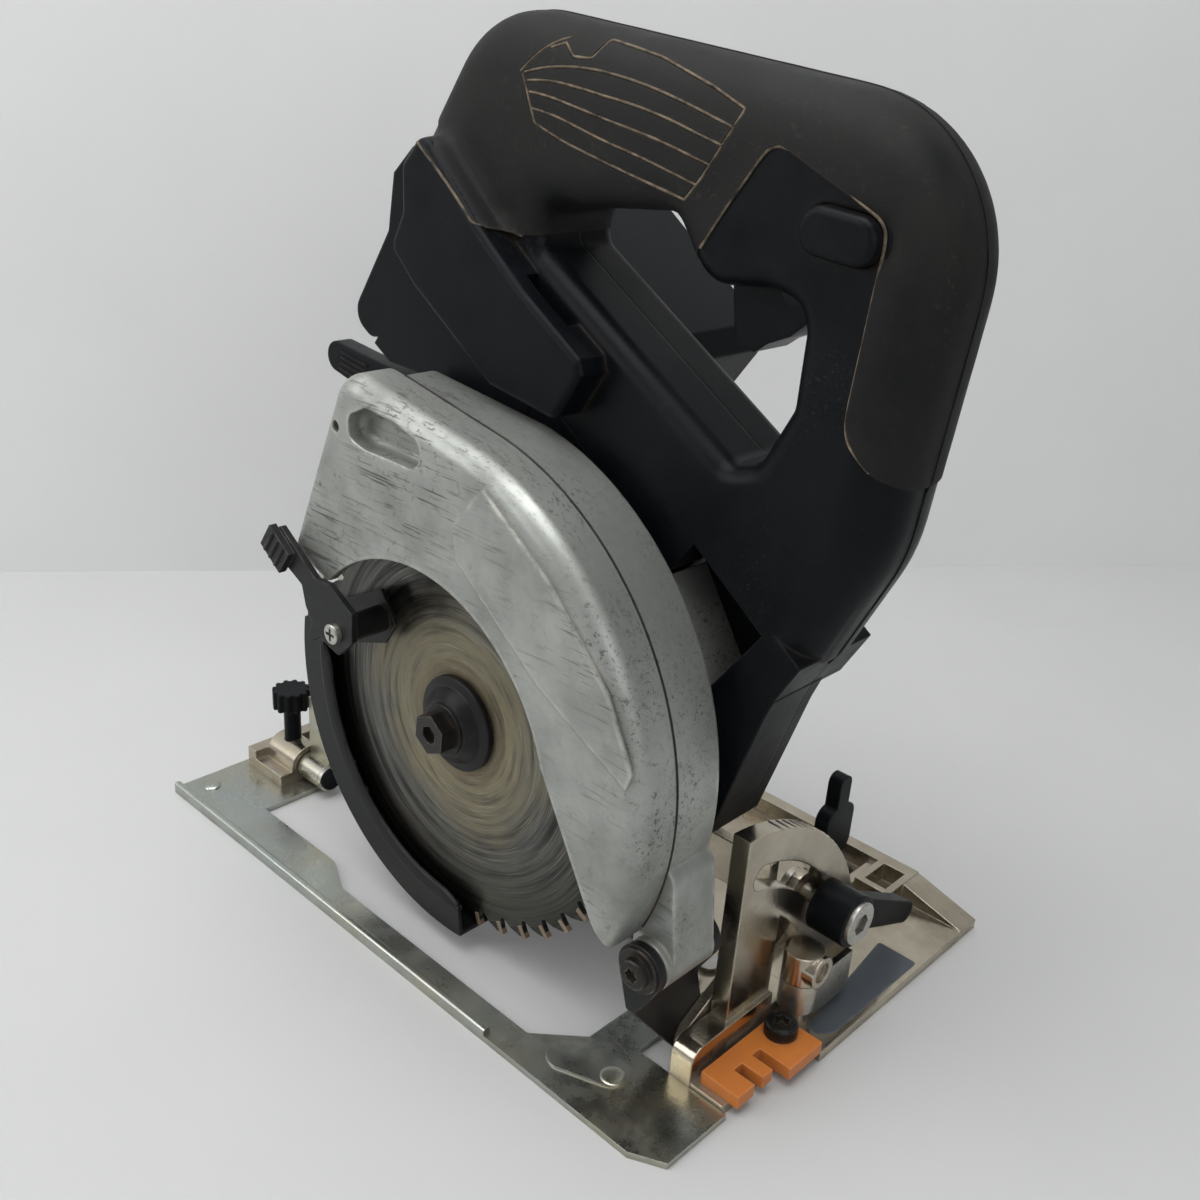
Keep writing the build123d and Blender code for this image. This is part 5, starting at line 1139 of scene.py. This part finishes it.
def makeCamera(pose):
    azimuth, elevation, roll = (math.radians(pose[key]) for key in ("azimuth", "elevation", "roll"))
    flat = math.cos(elevation)
    back = Vector((math.sin(azimuth) * flat, -math.cos(azimuth) * flat, math.sin(elevation)))
    right = (-back).cross(Vector((0, 0, 1))).normalized()
    up = right.cross(-back)
    level = Matrix((right, up, back)).transposed()
    data = bpy.data.cameras.new("photoCamera")
    data.sensor_width = pose["sensor"]
    data.lens = pose["focal"] * pose["sensor"] / pose["photo"]
    data.clip_start, data.clip_end = pose["clip"]
    item = bpy.data.objects.new("photoCamera", data)
    item.matrix_world = Matrix.Translation(pose["place"]) @ (level @ Matrix.Rotation(roll, 3, "Z")).to_4x4()
    scene.collection.objects.link(item)
    scene.camera = item


makeCamera(cameraPose)


# pale table and the wall behind it
stageLook = {
    "floorSize": 3.0, "edgeStart": (-0.4364, 0.0124), "edgeEnd": (0.0430, 0.6590), "wallHeight": 1.6,
    "floor": (0.53, 0.535, 0.53), "wall": (0.76, 0.765, 0.76),
    "noise": (9.0, 4.0), "tone": (0.3, 0.7, 0.97, 1.0),
    "gloss": {"Roughness": 0.55, "Specular IOR Level": 0.25},
}


def makeStageMaterial(name, color, oneSided, look):
    material, tree, shader, place = startMaterial(name)
    tone = mapRange(tree, addNoise(tree, place, *look["noise"]), *look["tone"])
    shade = mixColor(tree, tone, rgba((0, 0, 0)), rgba(color))
    plugAll(tree, shader, {"Base Color": shade, **look["gloss"]})
    if oneSided:  # clear from behind, so that the back of the saw can be seen
        blend = addNode(tree, "ShaderNodeMixShader")
        plug(tree, addNode(tree, "ShaderNodeNewGeometry").outputs["Backfacing"], blend.inputs[0])
        plug(tree, shader.outputs[0], blend.inputs[1])
        plug(tree, addNode(tree, "ShaderNodeBsdfTransparent").outputs[0], blend.inputs[2])
        plug(tree, blend.outputs[0], tree.nodes["Material Output"].inputs["Surface"])
    return material


def panelMesh(left, right, across):
    mesh = bmesh.new()
    mesh.faces.new([mesh.verts.new(corner) for corner in (left, right, right + across, left + across)])
    return mesh


def makeStage(look):
    start = Vector((*look["edgeStart"], 0.0))
    along = (Vector((*look["edgeEnd"], 0.0)) - start).normalized()
    toward = Vector((along.y, -along.x, 0.0))
    half = look["floorSize"] / 2
    left, right = start - along * half, start + along * half
    floorMesh = panelMesh(left, right, toward * half * 2)
    bmesh.ops.recalc_face_normals(floorMesh, faces=floorMesh.faces)
    wallMesh = panelMesh(left, right, Vector((0, 0, look["wallHeight"])))
    panels = (("tableTop", floorMesh, look["floor"], False), ("backWall", wallMesh, look["wall"], True))
    for name, mesh, color, oneSided in panels:
        item = linkMesh(name, mesh)
        item.data.materials.append(makeStageMaterial(name, color, oneSided, look))


makeStage(stageLook)

# soft studio light: a broad panel overhead, a fill from each side of the camera and a pale world
lights = {
    "overhead": {"place": (-0.15, -0.10, 1.35), "aim": (0.0, 0.05, 0.1), "size": 1.3, "power": 20.0},
    "sideFill": {"place": (-0.75, -1.05, 0.75), "aim": (0.0, 0.0, 0.12), "size": 0.9, "power": 7.0},
    "frontFill": {"place": (1.25, -0.45, 0.70), "aim": (0.0, 0.0, 0.12), "size": 0.9, "power": 3.5},
}
for name, setup in lights.items():
    data = bpy.data.lights.new(name, "AREA")
    data.shape = "SQUARE"
    data.size = setup["size"]
    data.energy = setup["power"]
    item = bpy.data.objects.new(name, data)
    aim = Vector(setup["aim"]) - Vector(setup["place"])
    item.matrix_world = Matrix.Translation(setup["place"]) @ aim.to_track_quat("-Z", "Y").to_matrix().to_4x4()
    scene.collection.objects.link(item)

world = bpy.data.worlds.new("paleRoom")
scene.world = world
world.use_nodes = True
world.node_tree.nodes["Background"].inputs["Color"].default_value = (0.97, 0.98, 1.0, 1.0)
world.node_tree.nodes["Background"].inputs["Strength"].default_value = 0.33
scene.view_settings.view_transform = "Standard"
